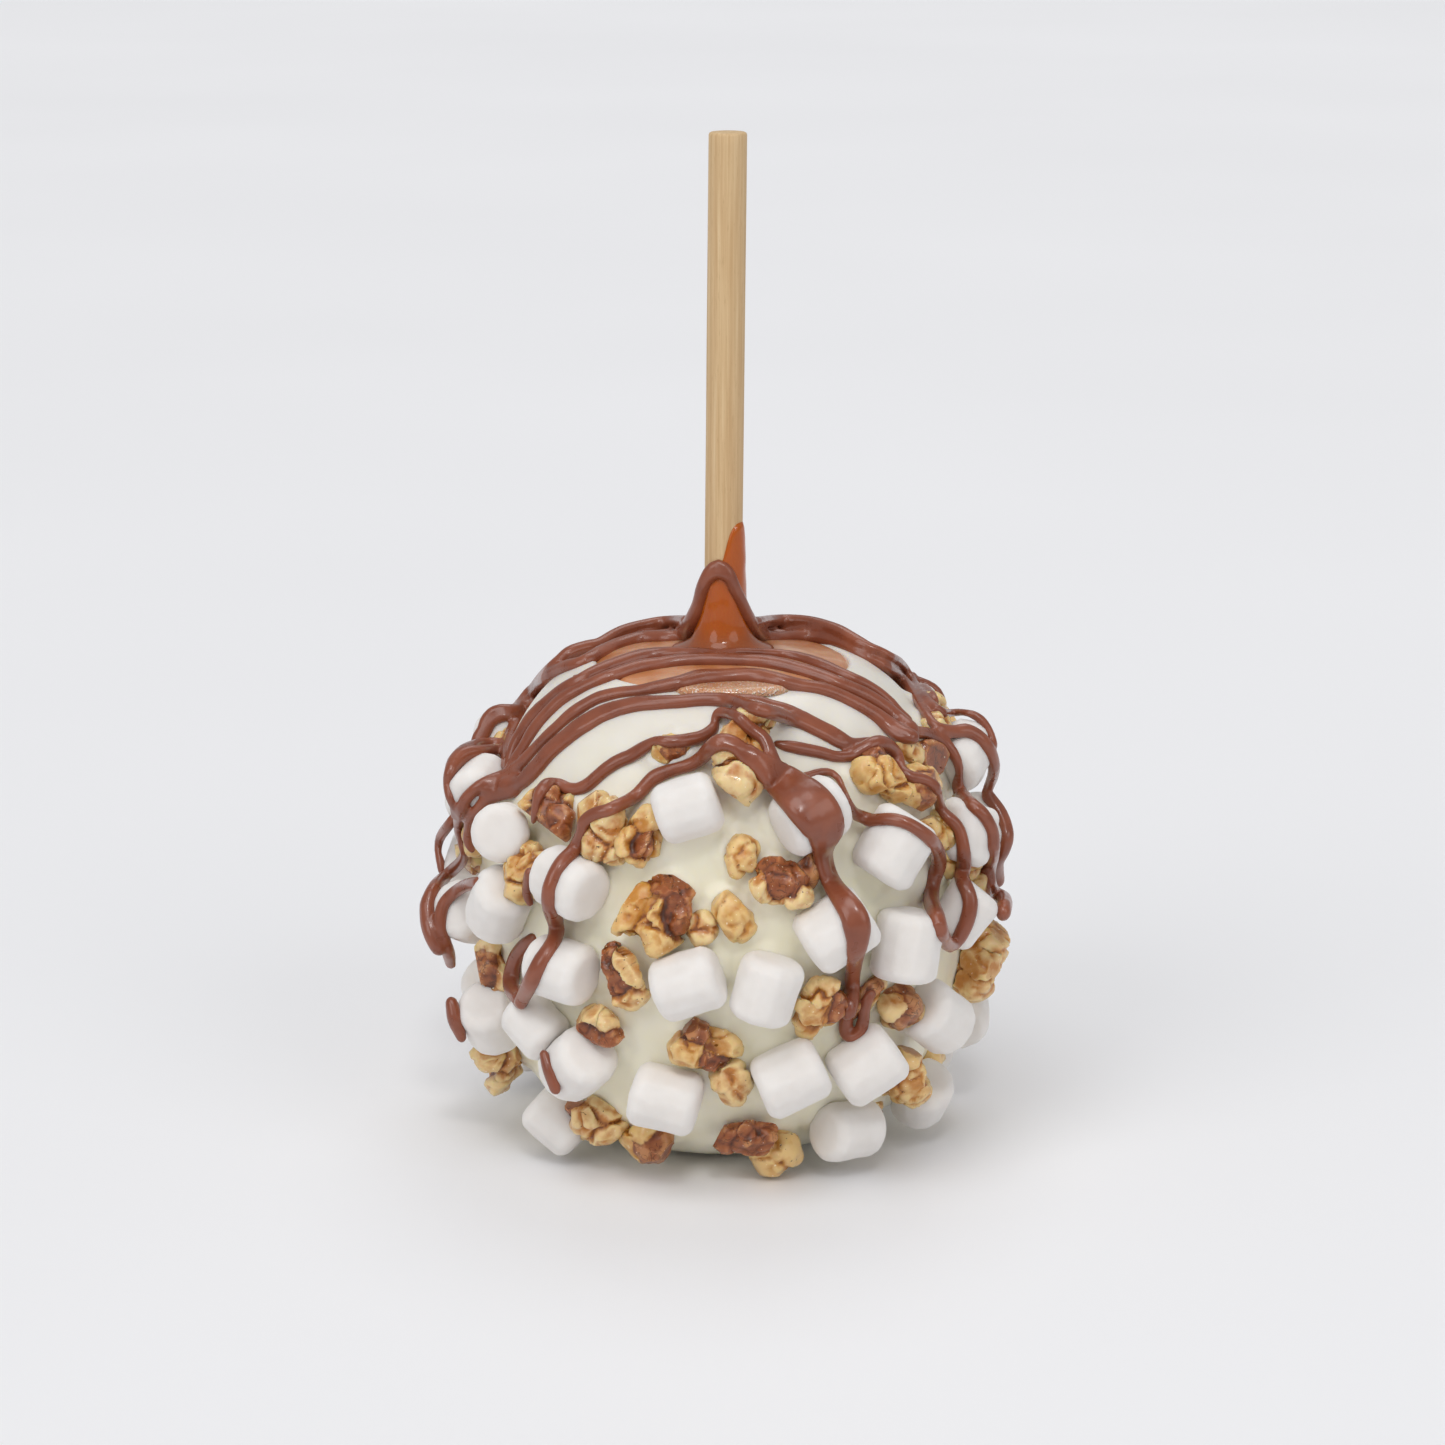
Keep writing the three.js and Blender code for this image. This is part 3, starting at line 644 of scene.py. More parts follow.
def walnut_kernel():
    paint = Paint("walnut")
    skin, groove = paint.attribute("skin"), paint.attribute("groove")
    ridge, tone = paint.attribute("ridge"), paint.attribute("tone")
    # Painted shade and light: through the ridge value, the flesh is dark amber in hollows, gold between and
    # cream on ridges. The brown skin is darkest in hollows and lightest on ridges. The noise added to the
    # ridge value is the kernel's own uneven tone.
    hollow_shade = paint.mix(tone, "#8f4c12", "#864612")
    gold = paint.mix(tone, "#c88a38", "#ba7634")
    cream = paint.mix(tone, "#e2be7e", "#e4ca96")
    uneven = paint.math("MULTIPLY", paint.math("SUBTRACT", paint.noise(2.2, 3), 0.5), 1.1)
    proud = paint.math("ADD", ridge, uneven)
    flesh = paint.mix(paint.ramp(proud, (0.1, 0.0), (0.45, 1.0)), hollow_shade, gold)
    flesh = paint.mix(paint.ramp(proud, (0.5, 0.0), (1.0, 1.0)), flesh, cream)
    # Painted shade: the flesh is darkened in the grooves between lobes.
    flesh = paint.mix(paint.math("MULTIPLY", groove, 0.35), flesh, "#945a26")
    vein = paint.noise(2.4, 2, 0.5, warp=1.0)
    brown = paint.ramp(proud, (0.05, "#55270f"), (0.4, "#85431d"), (0.75, "#9f5c30"), (1.0, "#bb8252"))
    lines = paint.ramp(vein, (0.48, 0.0), (0.5, 1.0), (0.52, 0.0))
    brown = paint.mix(paint.math("MULTIPLY", lines, 0.75), brown, "#4d2a18")
    # Painted shade: the brown skin is darkened in the grooves between lobes.
    brown = paint.mix(paint.math("MULTIPLY", groove, 0.5), brown, "#4a2818")
    edge = paint.math("ADD", skin, paint.math("MULTIPLY", paint.noise(1.2, 3), 0.5))
    share = paint.ramp(edge, (0.5, 0.0), (0.85, 1.0))
    colour = paint.mix(share, flesh, brown)
    speck = paint.ramp(paint.noise(0.7, 1), (0.74, 0.0), (0.77, 0.8))
    colour = paint.mix(speck, colour, "#5b341c")
    # Painted highlights: tiny near-white specks that stand in for glints off the glaze.
    painted_glints = paint.ramp(paint.noise(0.55, 1), (0.73, 0.0), (0.76, 0.7))
    colour = paint.mix(painted_glints, colour, "#f6ead0")
    fine = paint.bump(paint.noise(0.35, 3, 0.6), 0.03)
    relief = paint.bump(paint.noise(1.0, 2), 0.08, normal=fine)
    paint.surface(Base_Color=colour, Roughness=0.42, Normal=relief, Subsurface_Weight=0.45,
                  Subsurface_Radius=(1.0, 0.5, 0.15), Subsurface_Scale=1.8 * MM, Specular_IOR_Level=0.3,
                  Coat_Weight=0.5, Coat_Roughness=0.08)
    return paint.material


def soft_caramel():
    paint = Paint("caramel")
    thin = paint.attribute("thin")
    milky = paint.ramp(paint.noise(7, 2), (0.3, "#b97547"), (0.45, "#c88a61"), (0.62, "#d6a583"))
    amber = paint.ramp(thin, (0.4, "#8f4c28"), (1.0, "#b0540a"))
    tone = paint.mix(paint.ramp(thin, (0.0, 0.0), (0.4, 1.0)), milky, amber)
    # Painted highlights: in the frothy band at the front edge, near-white specks stand in for light
    # sparkling off the bubbles. The bump below is the froth itself.
    froth = paint.attribute("froth")
    bubbles = paint.noise(0.4, 1)
    painted_sparkle = paint.math("MULTIPLY", froth, paint.ramp(bubbles, (0.58, 0.0), (0.66, 0.9)))
    tone = paint.mix(painted_sparkle, tone, "#f4e6da")
    grit = paint.bump(bubbles, 0.05, 0.6)
    grit = paint.bump(paint.math("MULTIPLY", froth, bubbles), 0.5, normal=grit)
    relief = paint.bump(paint.noise(3, 2), 0.1, normal=grit)
    paint.surface(Base_Color=tone, Roughness=0.3, Normal=relief, Specular_IOR_Level=0.15,
                  Subsurface_Weight=0.2, Subsurface_Radius=(1.0, 0.4, 0.1), Subsurface_Scale=1.5 * MM,
                  Coat_Weight=0.6, Coat_Roughness=0.05)
    return paint.material


def pale_wood():
    paint = Paint("wood")
    grain = paint.noise(0.55, 4, 0.6, stretch=(1, 1, 0.02))
    streak = paint.noise(1.8, 2, stretch=(1, 1, 0.012))
    fleck = paint.noise(0.2, 2, stretch=(1, 1, 0.1))
    tone = paint.ramp(grain, (0.3, "#c5a274"), (0.55, "#d6b88c"), (0.75, "#e2c9a1"))
    tone = paint.mix(paint.ramp(streak, (0.4, 0.0), (0.75, 0.45)), tone, "#b99265")
    tone = paint.mix(paint.ramp(fleck, (0.6, 0.0), (0.72, 0.3)), tone, "#a98457")
    relief = paint.bump(grain, 0.05)
    paint.surface(Base_Color=tone, Roughness=0.62, Normal=relief)
    return paint.material


def pale_floor():
    paint = Paint("floor")
    tone = paint.ramp(paint.noise(400, 2), (0.3, "#ededef"), (0.7, "#f0f0f2"))
    paint.surface(Base_Color=tone, Roughness=0.55)
    return paint.material


WHITE_CHOCOLATE = white_chocolate()
MARSHMALLOW = marshmallow_foam()
MILK_CHOCOLATE = milk_chocolate()
WALNUT = walnut_kernel()
CARAMEL = soft_caramel()
WOOD = pale_wood()

# --- Marshmallows and walnuts ------------------------------------------------------

MARSHMALLOW_NODES = sorted(name for name in NODES if name.startswith("marshmallow"))
WALNUT_NODES = sorted(name for name in NODES if name.startswith("walnut"))
FOAM_VOXEL = 0.45
WALNUT_VOXEL = 0.32


def outward_at(point):
    """Roughly straight out of the apple at a point on it."""
    away = point - MIDDLE
    return unit(away * np.array([1, 1, 0.8]))


def puffed(points, faces, seed):
    """A soft marshmallow from its plain solid: slightly swollen, dented and uneven."""
    points, faces = skin_round(points, faces, FOAM_VOXEL, 8)
    normals = normals_of(points, faces)
    swell = 0.3 + 0.22 * noise(points, 6, seed) + 0.08 * noise(points, 2.5, seed + 1)
    return points + normals * swell[:, None], faces


# How much of each walnut piece still wears its brown skin, and the side that the skin is on:
# level, up, outwards.
WALNUT_SKINS = {
    "walnut_01": (0.55, 0.3, 0.2, 0.8),
    "walnut_02": (0.15, 0.5, 0.5, 0.3),
    "walnut_03": (0.3, 0.5, -0.5, 0.5),
    "walnut_04": (0.2, 0.2, -0.6, 0.7),
    "walnut_05": (0.05, 0.5, -0.5, 0.3),
    "walnut_06": (0.47, 0.2, 0.0, 1.0),
    "walnut_07": (0.55, -0.9, 0.0, 0.4),
    "walnut_08": (0.7, 0.2, 0.5, 0.7),
    "walnut_09": (0.5, 0.3, -0.9, 0.3),
    "walnut_10": (0.6, 0.1, 0.1, 1.0),
    "walnut_11": (0.25, 0.5, -0.5, 0.5),
    "walnut_12": (0.5, 0.3, 0.3, 0.8),
    "walnut_13": (0.05, -0.5, 0.5, 0.3),
    "walnut_14": (0.9, -0.4, 0.3, 0.9),
    "walnut_15": (0.3, 0.6, 0.4, 0.3),
    "walnut_16": (0.25, 0.3, 0.5, 0.6),
    "walnut_17": (0.4, 0.5, 0.5, 0.5),
    "walnut_18": (0.5, 0.4, 0.2, 0.8),
    "walnut_19": (0.25, -0.4, 0.2, 0.8),
    "walnut_20": (0.65, 0.0, 0.5, 0.8),
}


WALNUT_SWELL = 0.6  # how far a piece is swollen before it is broken
LOBE_SPACING = 3.4
LOBE_SHARES = (0.36, 0.45)  # least and most share of a piece that lies between its lobes' middles
LOBE_SHOULDER = 1.7  # how far in from its edge a lobe still rises
LOBE_TILT = 0.2
GROOVE_WIDTH = 0.28
BROWN_FROM = 0.57  # a lobe is brown when its place towards the skin's side plus the share is over this
SKIN_BLEND = 0.35
FOLD_SPACING = 3.6
FOLD_WIDTH = 0.3
RISE_LIMITS = (-1.4, 1.3)
FAR_OFF = 9.0  # further than any lobe


def chipped(points, centre, size, draws, chips, least, most):
    """Breaks flat faces off a shape, each between the least and most share of its size deep."""
    for _ in range(chips):
        direction = unit(draws.normal(size=3))
        reach = (points - centre) @ direction
        cut = reach.max() - size * draws.uniform(least, most)
        points = points - np.maximum(reach - cut, 0)[:, None] * direction
    return points


def spread_out(points, spacing, draws):
    """Picks points that lie at least spacing apart and cover all of them."""
    picked = [points[draws.integers(len(points))]]
    gap = np.linalg.norm(points - picked[0], axis=1)
    while gap.max() > spacing:
        picked.append(points[gap.argmax()])
        gap = np.minimum(gap, np.linalg.norm(points - picked[-1], axis=1))
    return np.array(picked)


def lobe_spacing(size):
    least, most = (share * size for share in LOBE_SHARES)
    return max(min(LOBE_SPACING, most), least)


def brown_lobes(lobes, centre, size, skin, draws):
    """Which lobes wear the brown skin: those towards its side, give or take a little."""
    share, level_side, up_side, out_side = skin
    out = outward_at(centre)
    level = unit(np.cross([0, 0, 1], out))
    up = np.cross(out, level)
    toward = unit(level * level_side + up * up_side + out * out_side)
    side = (lobes - centre) @ toward / (size / 2) * 0.5 + draws.uniform(-0.22, 0.22, len(lobes))
    return side + share > BROWN_FROM


def lobe_pattern(points, lobes, brown, seed):
    """How far each point lies inside its lobe, which lobe that is, and how much brown skin is there."""
    warp = np.stack([noise(points, 2.4, seed + axis) for axis in range(3)], -1)
    warped = points + 0.9 * warp
    gaps = np.linalg.norm(warped[:, None] - lobes[None], axis=2)
    nearest = np.sort(gaps, axis=1)
    none = np.full(len(points), FAR_OFF)
    to_brown = gaps[:, brown].min(1) if brown.any() else none
    to_cream = gaps[:, ~brown].min(1) if (~brown).any() else none
    worn = smoothstep(-SKIN_BLEND, SKIN_BLEND, to_cream - to_brown)
    return nearest[:, 1] - nearest[:, 0], gaps.argmin(1), worn


def folds_of(points, seed):
    """1 along winding folds and 0 away from them."""
    swirled = points + 0.4 * noise(points, 1.5, seed + 9)[:, None]
    return 1 - np.minimum(np.abs(noise(swirled, FOLD_SPACING, seed + 7)) / FOLD_WIDTH, 1)


def walnut_rise(points, dome, step, groove, worn, seed, plump):
    """How far each point stands out: broken flesh in domed and stepped lobes, brown skin flatter."""
    flesh = 0.75 * dome + 1.3 * step
    skin = 0.15 * dome + 0.8 * noise(points, 4.0, seed + 6) - 0.45
    rise = (1 - worn) * flesh + worn * skin
    rise = plump * (rise - 0.25 * groove * (1 - worn) - 0.4 * folds_of(points, seed) ** 2)
    return np.clip(rise + 0.22 * noise(points, 1.4, seed + 5), *RISE_LIMITS)


def kernel(points, faces, seed, skin, plump):
    """Gives a plain walnut piece its lobes and broken faces. Returns points and what the material needs."""
    draws = np.random.default_rng(seed)
    centre = points.mean(0)
    size = np.linalg.norm(points.max(0) - points.min(0))
    points = points + WALNUT_SWELL * normals_of(points, faces)
    points = chipped(points, centre, size, draws, chips=5, least=0.03, most=0.1)
    lobes = spread_out(points, lobe_spacing(size), draws)
    brown = brown_lobes(lobes, centre, size, skin, draws)
    tilts = draws.normal(size=lobes.shape) * LOBE_TILT
    inside, owner, worn = lobe_pattern(points, lobes, brown, seed)
    dome = smoothstep(0, LOBE_SHOULDER, inside)
    groove = np.exp(-((inside / GROOVE_WIDTH) ** 2))
    step = np.sum((points - lobes[owner]) * tilts[owner], 1) * (0.4 + 0.6 * dome)
    rise = walnut_rise(points, dome, step, groove, worn, seed, plump)
    points = points + normals_of(points, faces) * rise[:, None]
    points = chipped(points, centre, size, draws, chips=6, least=0.02, most=0.08)
    # The ridge and groove values carry painted shade into hollows and grooves and painted light onto ridges
    # in the walnut material.
    ridge = ridges_of(points, faces, rounds=14, depth=0.3)
    tone = np.full(len(points), draws.uniform())
    return points, {"skin": worn, "groove": groove, "ridge": ridge, "tone": tone}


toppings = []


def make_marshmallows():
    for index, name in enumerate(MARSHMALLOW_NODES):
        points, faces = puffed(*node_arrays(name), 10 * index)
        toppings.append((points, faces))
        piece(f"{name}_foam", points, faces, MARSHMALLOW, "marshmallow", name)


def make_walnuts():
    for index, name in enumerate(WALNUT_NODES):
        points, faces = skin_round(*node_arrays(name), WALNUT_VOXEL, 2)
        points, values = kernel(points, faces, 100 + 20 * index, WALNUT_SKINS[name], plump=1.0)
        toppings.append((points, faces))
        piece(f"{name}_kernel", points, faces, WALNUT, "walnut", name, **values)


make_marshmallows()
make_walnuts()

# --- Further small pieces ----------------------------------------------------------

# Walnut pieces too small for a solid of their own: azimuth, height, length, width, share of brown skin.
SMALL_WALNUTS = [
    (-14.5, 73.5, 5.5, 3.7, 0.3),
    (4.5, 58.4, 6.1, 4.2, 0.15),
    (2, 48.5, 7.4, 4.6, 0.1),
    (-5, 46.8, 4.7, 4.0, 0.0),
    (19, 55.2, 6.5, 4.4, 0.9),
    (2, 20.3, 7, 5.4, 0.2),
    (34, 32.6, 7.5, 4.3, 0.4),
    (43.5, 30.2, 7.8, 6.6, 0.5),
    (-21, 7.7, 8.6, 6.5, 0.4),
    (15, 6.4, 8.3, 7.5, 0.2),
    (92, 11, 8, 6, 0.3),
    (-67, 32.6, 9.6, 6.7, 0.3),
    (-92, 47, 11, 6.5, 0.4),
    (59.6, 69.9, 5.3, 4.1, 0.0),
    (69.5, 67, 9.2, 5, 0.8),
    (55, 64.3, 8.2, 7, 0.4),
    (58.3, 56.8, 8.3, 4.1, 0.1),
    (88, 39.5, 10, 7.5, 0.3),
    (50.4, 8.5, 4.5, 2.9, 0.6),
    (98, 71, 6, 4.5, 0.0),
    (82, 70, 6.5, 4.5, 0.1),
    (-70, 79.5, 2.2, 1.7, 0.9),
    (63.6, 56, 7, 5, 0.0),
    (66.2, 51.5, 6, 4.5, 0.1),
    (78, 49, 7, 5, 0.2),
    (80, 43.5, 8, 5.5, 0.1),
    (79, 38.5, 6.5, 4.5, 0.9),
    (-84, 51, 7.5, 5, 0.1),
    (-78, 16, 3.5, 3, 0.2),
    (-96, 20, 7, 5, 0.3),
    (-101, 31, 6, 4.5, 0.5),
    (-84, 24, 5.5, 4, 0.1),
    (98, 22, 8, 5.5, 0.2),
    (104, 30, 6, 4.5, 0.6),
    (84, 26, 5, 4, 0.1),
]


LUMP_DETAIL = 4
BACK_AZIMUTHS = (102, 258)
BACK_HEIGHTS = (8, 66)
BACK_TRIES = 900
BACK_MARSHMALLOWS = 18
BACK_MARSHMALLOW_GAP = 11.5
BACK_WALNUTS = 40
BACK_WALNUT_GAP = 7.2
FOAM_RADIUS = 5.0
FOAM_ROUNDING = 2
FOAM_LIFT = 3.6  # the middle of a marshmallow above the coat
PRESSED_IN = 0.5
OFF_FLOOR = 1.0


def lump(seed, length, width, thickness):
    """A rough lump about the origin: a ball squeezed to size and made uneven."""
    mesh = bpy.data.meshes.new("lump")
    work = bmesh.new()
    bmesh.ops.create_icosphere(work, subdivisions=LUMP_DETAIL, radius=1)
    work.to_mesh(mesh)
    work.free()
    points, faces = arrays_of(mesh)
    points = unit(points)
    rough = 1 + 0.22 * noise(points, 0.9, seed) + 0.08 * noise(points, 0.4, seed + 1)
    squeeze = np.array([width, length, thickness]) / 2
    return points * rough[:, None] * squeeze, faces


def laid(points, azimuth, height, spin, lift):
    """Places a shape on the coat: its Y axis spun about the outward direction, its Z axis outwards."""
    place, level, up, outward = seat(azimuth, height)
    along = level * math.cos(spin) + up * math.sin(spin)
    side = np.cross(along, outward)
    return place + outward * lift + points @ np.stack([side, along, outward])


def small_walnut(seed, azimuth, height, length, width, skin):
    draws = np.random.default_rng(seed)
    thickness = width * draws.uniform(0.75, 0.95)
    points, faces = lump(seed, length, width, thickness)
    points = laid(points, azimuth, height, draws.uniform(0, np.pi), thickness / 2 - PRESSED_IN)
    points[:, 2] += max(0.0, OFF_FLOOR - points[:, 2].min())
    level_side, up_side = draws.uniform(-0.5, 0.5, 2)
    points, values = kernel(points, faces, seed, (skin, level_side, up_side, 0.6), plump=0.5)
    return points, faces, values


def back_places(draws, count, places, gap):
    """Free places round the back, found by trial."""
    found = []
    for _ in range(BACK_TRIES):
        if len(found) == count:
            break
        azimuth, height = draws.uniform(*BACK_AZIMUTHS), draws.uniform(*BACK_HEIGHTS)
        point = seat(azimuth, height)[0]
        if all(np.linalg.norm(place - point) > gap for place in places):
            places.append(point)
            found.append((azimuth, height))
    return found


def foam_block():
    """A plain rounded marshmallow about the origin, its axis along Y."""
    share = np.linspace(0, np.pi / 2, 6)
    flat = FOAM_RADIUS - FOAM_ROUNDING
    corner = np.stack([flat + FOAM_ROUNDING * np.cos(share), flat + FOAM_ROUNDING * np.sin(share)], -1)
    outline = np.concatenate([corner[::-1], corner * [1, -1]])
    rings = rings_of(outline[:, :1], turn(32), outline[:, 1:])
    rings = rings[..., [0, 2, 1]] * [1, 1, -1]
    return closed_grid(rings[::-1])


def make_marshmallows_behind(draws, places):
    foam = []
    spots = back_places(draws, BACK_MARSHMALLOWS, places, BACK_MARSHMALLOW_GAP)
    for index, (azimuth, height) in enumerate(spots):
        points, faces = foam_block()
        points = laid(points, azimuth, height, draws.uniform(0, np.pi), FOAM_LIFT)
        foam.append(puffed(points, faces, 600 + 10 * index))
    toppings.extend(foam)
    piece("marshmallows_behind", *joined(foam), MARSHMALLOW, "marshmallow")


def make_walnut_bits(draws, places):
    rows = list(SMALL_WALNUTS)
    for azimuth, height in back_places(draws, BACK_WALNUTS, places, BACK_WALNUT_GAP):
        length = draws.uniform(6, 11)
        width = length * draws.uniform(0.6, 0.8)
        rows.append((azimuth, height, length, width, draws.uniform(0, 0.7)))
    made = [small_walnut(900 + 20 * index, *row) for index, row in enumerate(rows)]
    shapes = [shape[:2] for shape in made]
    toppings.extend(shapes)
    values = {key: np.concatenate([shape[2][key] for shape in made]) for key in made[0][2]}
    piece("walnut_bits", *joined(shapes), WALNUT, "walnut", **values)


def make_small_pieces():
    draws = np.random.default_rng(7)
    places = [points.mean(0) for points, _ in toppings]
    make_marshmallows_behind(draws, places)
    make_walnut_bits(draws, places)


make_small_pieces()

# --- White chocolate coat ----------------------------------------------------------

COAT_COLUMNS = 360
COAT_ROWS = 180
COAT_LIP = [(0.5, 0.12), (1.0, -0.05), (1.3, -0.5)]  # the lip's rings: in from the rim, and above it
BEAD_HEIGHT = 1.0
BEAD_WIDTH = 1.4
BEAD_REACH = 4.5


def coat_rise(points, topping_tree):
    """How far the chocolate stands out: gentle ripples, and a bead drawn up round every topping."""
    rise = 0.22 * noise(points, 15, 3) + 0.1 * noise(points, 5, 4)
    for index, point in enumerate(points):
        near = topping_tree.find_nearest(Vector(point), BEAD_REACH)
        if near[0] is not None:
            rise[index] += BEAD_HEIGHT * math.exp(-((near[3] / BEAD_WIDTH) ** 2))
    return rise


def make_coat():
    tree = BVHTree.FromPolygons(*(part.tolist() for part in joined(toppings)))
    rings = turned(side_outline(COAT_ROWS), COAT_COLUMNS)
    flat = rings.reshape(-1, 3)
    normals = normals_of(flat, grid_faces(COAT_ROWS, COAT_COLUMNS))
    height = flat[:, 2]
    fade = smoothstep(0, 3, RIM_HEIGHT - height + 0.6) * smoothstep(0, 2, height + 0.3)
    flat = flat + normals * (coat_rise(flat, tree) * fade)[:, None]
    flat[:, 2] = np.maximum(flat[:, 2], 0)
    lip = [(RIM_RADIUS - inset, RIM_HEIGHT + rise) for inset, rise in COAT_LIP]
    inner = side_outline(24, -COAT_THICKNESS)[::-1]
    start = turned(flat_foot(0.0), COAT_COLUMNS)
    end = turned(np.concatenate([lip, inner, flat_foot(COAT_THICKNESS)[::-1]]), COAT_COLUMNS)
    points, faces = closed_grid(np.concatenate([start, flat.reshape(rings.shape), end]))
    piece("coat_surface", points, faces, WHITE_CHOCOLATE, "white_chocolate", "white_chocolate_coat")
    return points, faces


# --- Caramel -----------------------------------------------------------------------

CARAMEL_COLUMNS = 240
POOL_SHOULDER = [(21.5, 79.4), (21.6, 80.2), (21.45, 80.7)]  # (radius, height) where its edge rounds over
POOL_EDGE = 21.3
POOL_WIDTH = 14.6
POOL_LEVEL = 80.9
POOL_CLIMB = 2.3
OVERFLOW_AZIMUTH = 5
OVERFLOW_SPREAD = 27
OVERFLOW_REACH = 2.9
OVERFLOW_RISE = 0.75
FROTH_ROWS = 9
FLARES = [(3.3, 1.1), (1.6, 5.0)]  # the collar's flares: how thick at its foot, and how high they thin
COLLAR_FILM = 0.55
HOLE_RADIUS = 3.22
HOLE_BOTTOM = STICK_BOTTOM - 0.3


def collar_height(azimuth):
    """How far the caramel has crept up the stick at each azimuth, in degrees."""
    height = np.full(azimuth.shape, COLLAR_HEIGHT)
    for peak, rise, spread in COLLAR_PEAKS:
        away = (azimuth - peak + 180) % 360 - 180
        height = height + rise * np.exp(-((away / spread) ** 4))
    return height


def front_share(azimuth):
    """1 where the caramel has run over the rim at the front, 0 elsewhere."""
    away = (np.degrees(azimuth) - OVERFLOW_AZIMUTH + 180) % 360 - 180
    return np.exp(-((away / OVERFLOW_SPREAD) ** 4))


def overflow(rows, azimuth, share):
    """Lets the pool's edge run out over the coat's rim at the front; the rings go from the edge in."""
    run = front_share(azimuth)[None] * (1 - smoothstep(0, 0.35, share))[:, None]
    outwards = unit(rows[..., :2])
    rows[..., :2] += outwards * (OVERFLOW_REACH * run)[..., None]
    rows[..., 2] += OVERFLOW_RISE * run * np.minimum(share[:, None] * 25, 1)


def pool_rings(share):
    """The top of the pool, from its rounded edge in to the collar, a little uneven."""
    pool = np.stack([POOL_EDGE - share * POOL_WIDTH, POOL_LEVEL + POOL_CLIMB * share**0.6], -1)
    rings = turned(np.concatenate([POOL_SHOULDER, pool]), CARAMEL_COLUMNS)
    level = rings[len(POOL_SHOULDER) :]
    level[..., 2] += 0.12 * noise(level.reshape(-1, 3), 6, 31).reshape(level.shape[:2])
    return rings


def collar_rings(azimuth):
    """The caramel drawn up round the stick, thin at its upper edge. Returns rings and heights on it."""
    climb = np.linspace(0, 1, 34)[:, None] ** 1.3
    height = climb * collar_height(np.degrees(azimuth))[None]
    film = sum(thick * np.exp(-height / high) for thick, high in FLARES) + COLLAR_FILM
    edge = np.sqrt(np.clip(1 - climb**8, 0, 1))
    radius = STICK_RADIUS + film * (0.12 + 0.88 * edge)
    collar = rings_of(radius, azimuth, COLLAR_BASE + height)
    wobble = noise(collar.reshape(-1, 3), 3, 32).reshape(height.shape) * 0.15 * edge
    collar[..., :2] *= (1 + wobble / radius)[..., None]
    return collar, height


def make_caramel():
    azimuth = turn(CARAMEL_COLUMNS)
    share = np.linspace(0, 1, 26)[1:]
    under = turned(flat_foot(CARAMEL_INSET), CARAMEL_COLUMNS)
    side = turned(side_outline(20, -CARAMEL_INSET)[:-1], CARAMEL_COLUMNS)
    top = pool_rings(share)
    overflow(top[len(POOL_SHOULDER) - 1 :], azimuth, np.concatenate([[0], share]))
    collar, height = collar_rings(azimuth)
    mouth = rings_of(HOLE_RADIUS, azimuth, COLLAR_BASE + height[-1])
    bottom = rings_of(HOLE_RADIUS, azimuth, HOLE_BOTTOM)
    grid = np.concatenate([under, side, top, lean(collar), lean(np.stack([mouth, bottom]))])
    thin, froth = np.zeros(grid.shape[:2]), np.zeros(grid.shape[:2])
    rim = len(under) + len(side)
    foot = rim + len(top)
    thin[foot - len(share) : foot] = 0.4 * smoothstep(0.7, 1, share)[:, None]
    thin[foot : foot + len(collar)] = 0.4 + 0.6 * smoothstep(0.5, 5, height)
    # The froth band carries the bubbly bump and also the caramel's painted sparkle highlights.
    froth[rim : rim + FROTH_ROWS] = front_share(azimuth)
    points, faces = closed_grid(grid)
    # The two added points are the middles of the end fans.
    values = {"thin": np.append(thin, [0, 0]), "froth": np.append(froth, [0, 0])}
    piece("caramel_body", points, faces, CARAMEL, "caramel", "caramel_apple", "caramel_collar", **values)
    return points, faces


# --- Stick -------------------------------------------------------------------------


STICK_COLUMNS = 64
STICK_ROWS = 90
STICK_GRAIN = 0.03
HEAD_RING = 1.2  # radius of the ring that the stick's end face is filled from


def make_stick():
    heights = np.linspace(STICK_BOTTOM + 0.5, STICK_TOP - 0.45, STICK_ROWS)
    shaft = np.stack([np.full(STICK_ROWS, STICK_RADIUS), heights], -1)
    foot = [(STICK_RADIUS - 0.5, STICK_BOTTOM), (STICK_RADIUS - 0.12, STICK_BOTTOM + 0.15)]
    head = [(STICK_RADIUS - 0.1, STICK_TOP - 0.15), (STICK_RADIUS - 0.35, STICK_TOP)]
    outline = np.concatenate([foot, shaft, head, [(HEAD_RING, STICK_TOP)]])
    rings = rings_of(outline[:, :1], turn(STICK_COLUMNS), outline[:, 1:])
    flat = rings.reshape(-1, 3)
    grain = STICK_GRAIN * noise(flat * [1, 1, 0.05], 1.2, 41)
    flat[:, :2] *= (1 + grain / STICK_RADIUS)[:, None]
    points, faces = closed_grid(lean(flat.reshape(rings.shape)))
    piece("stick_wood", points, faces, WOOD, "wood", "stick")
    return points, faces


coat = make_coat()
caramel = make_caramel()
stick = make_stick()

# --- Drizzle -----------------------------------------------------------------------

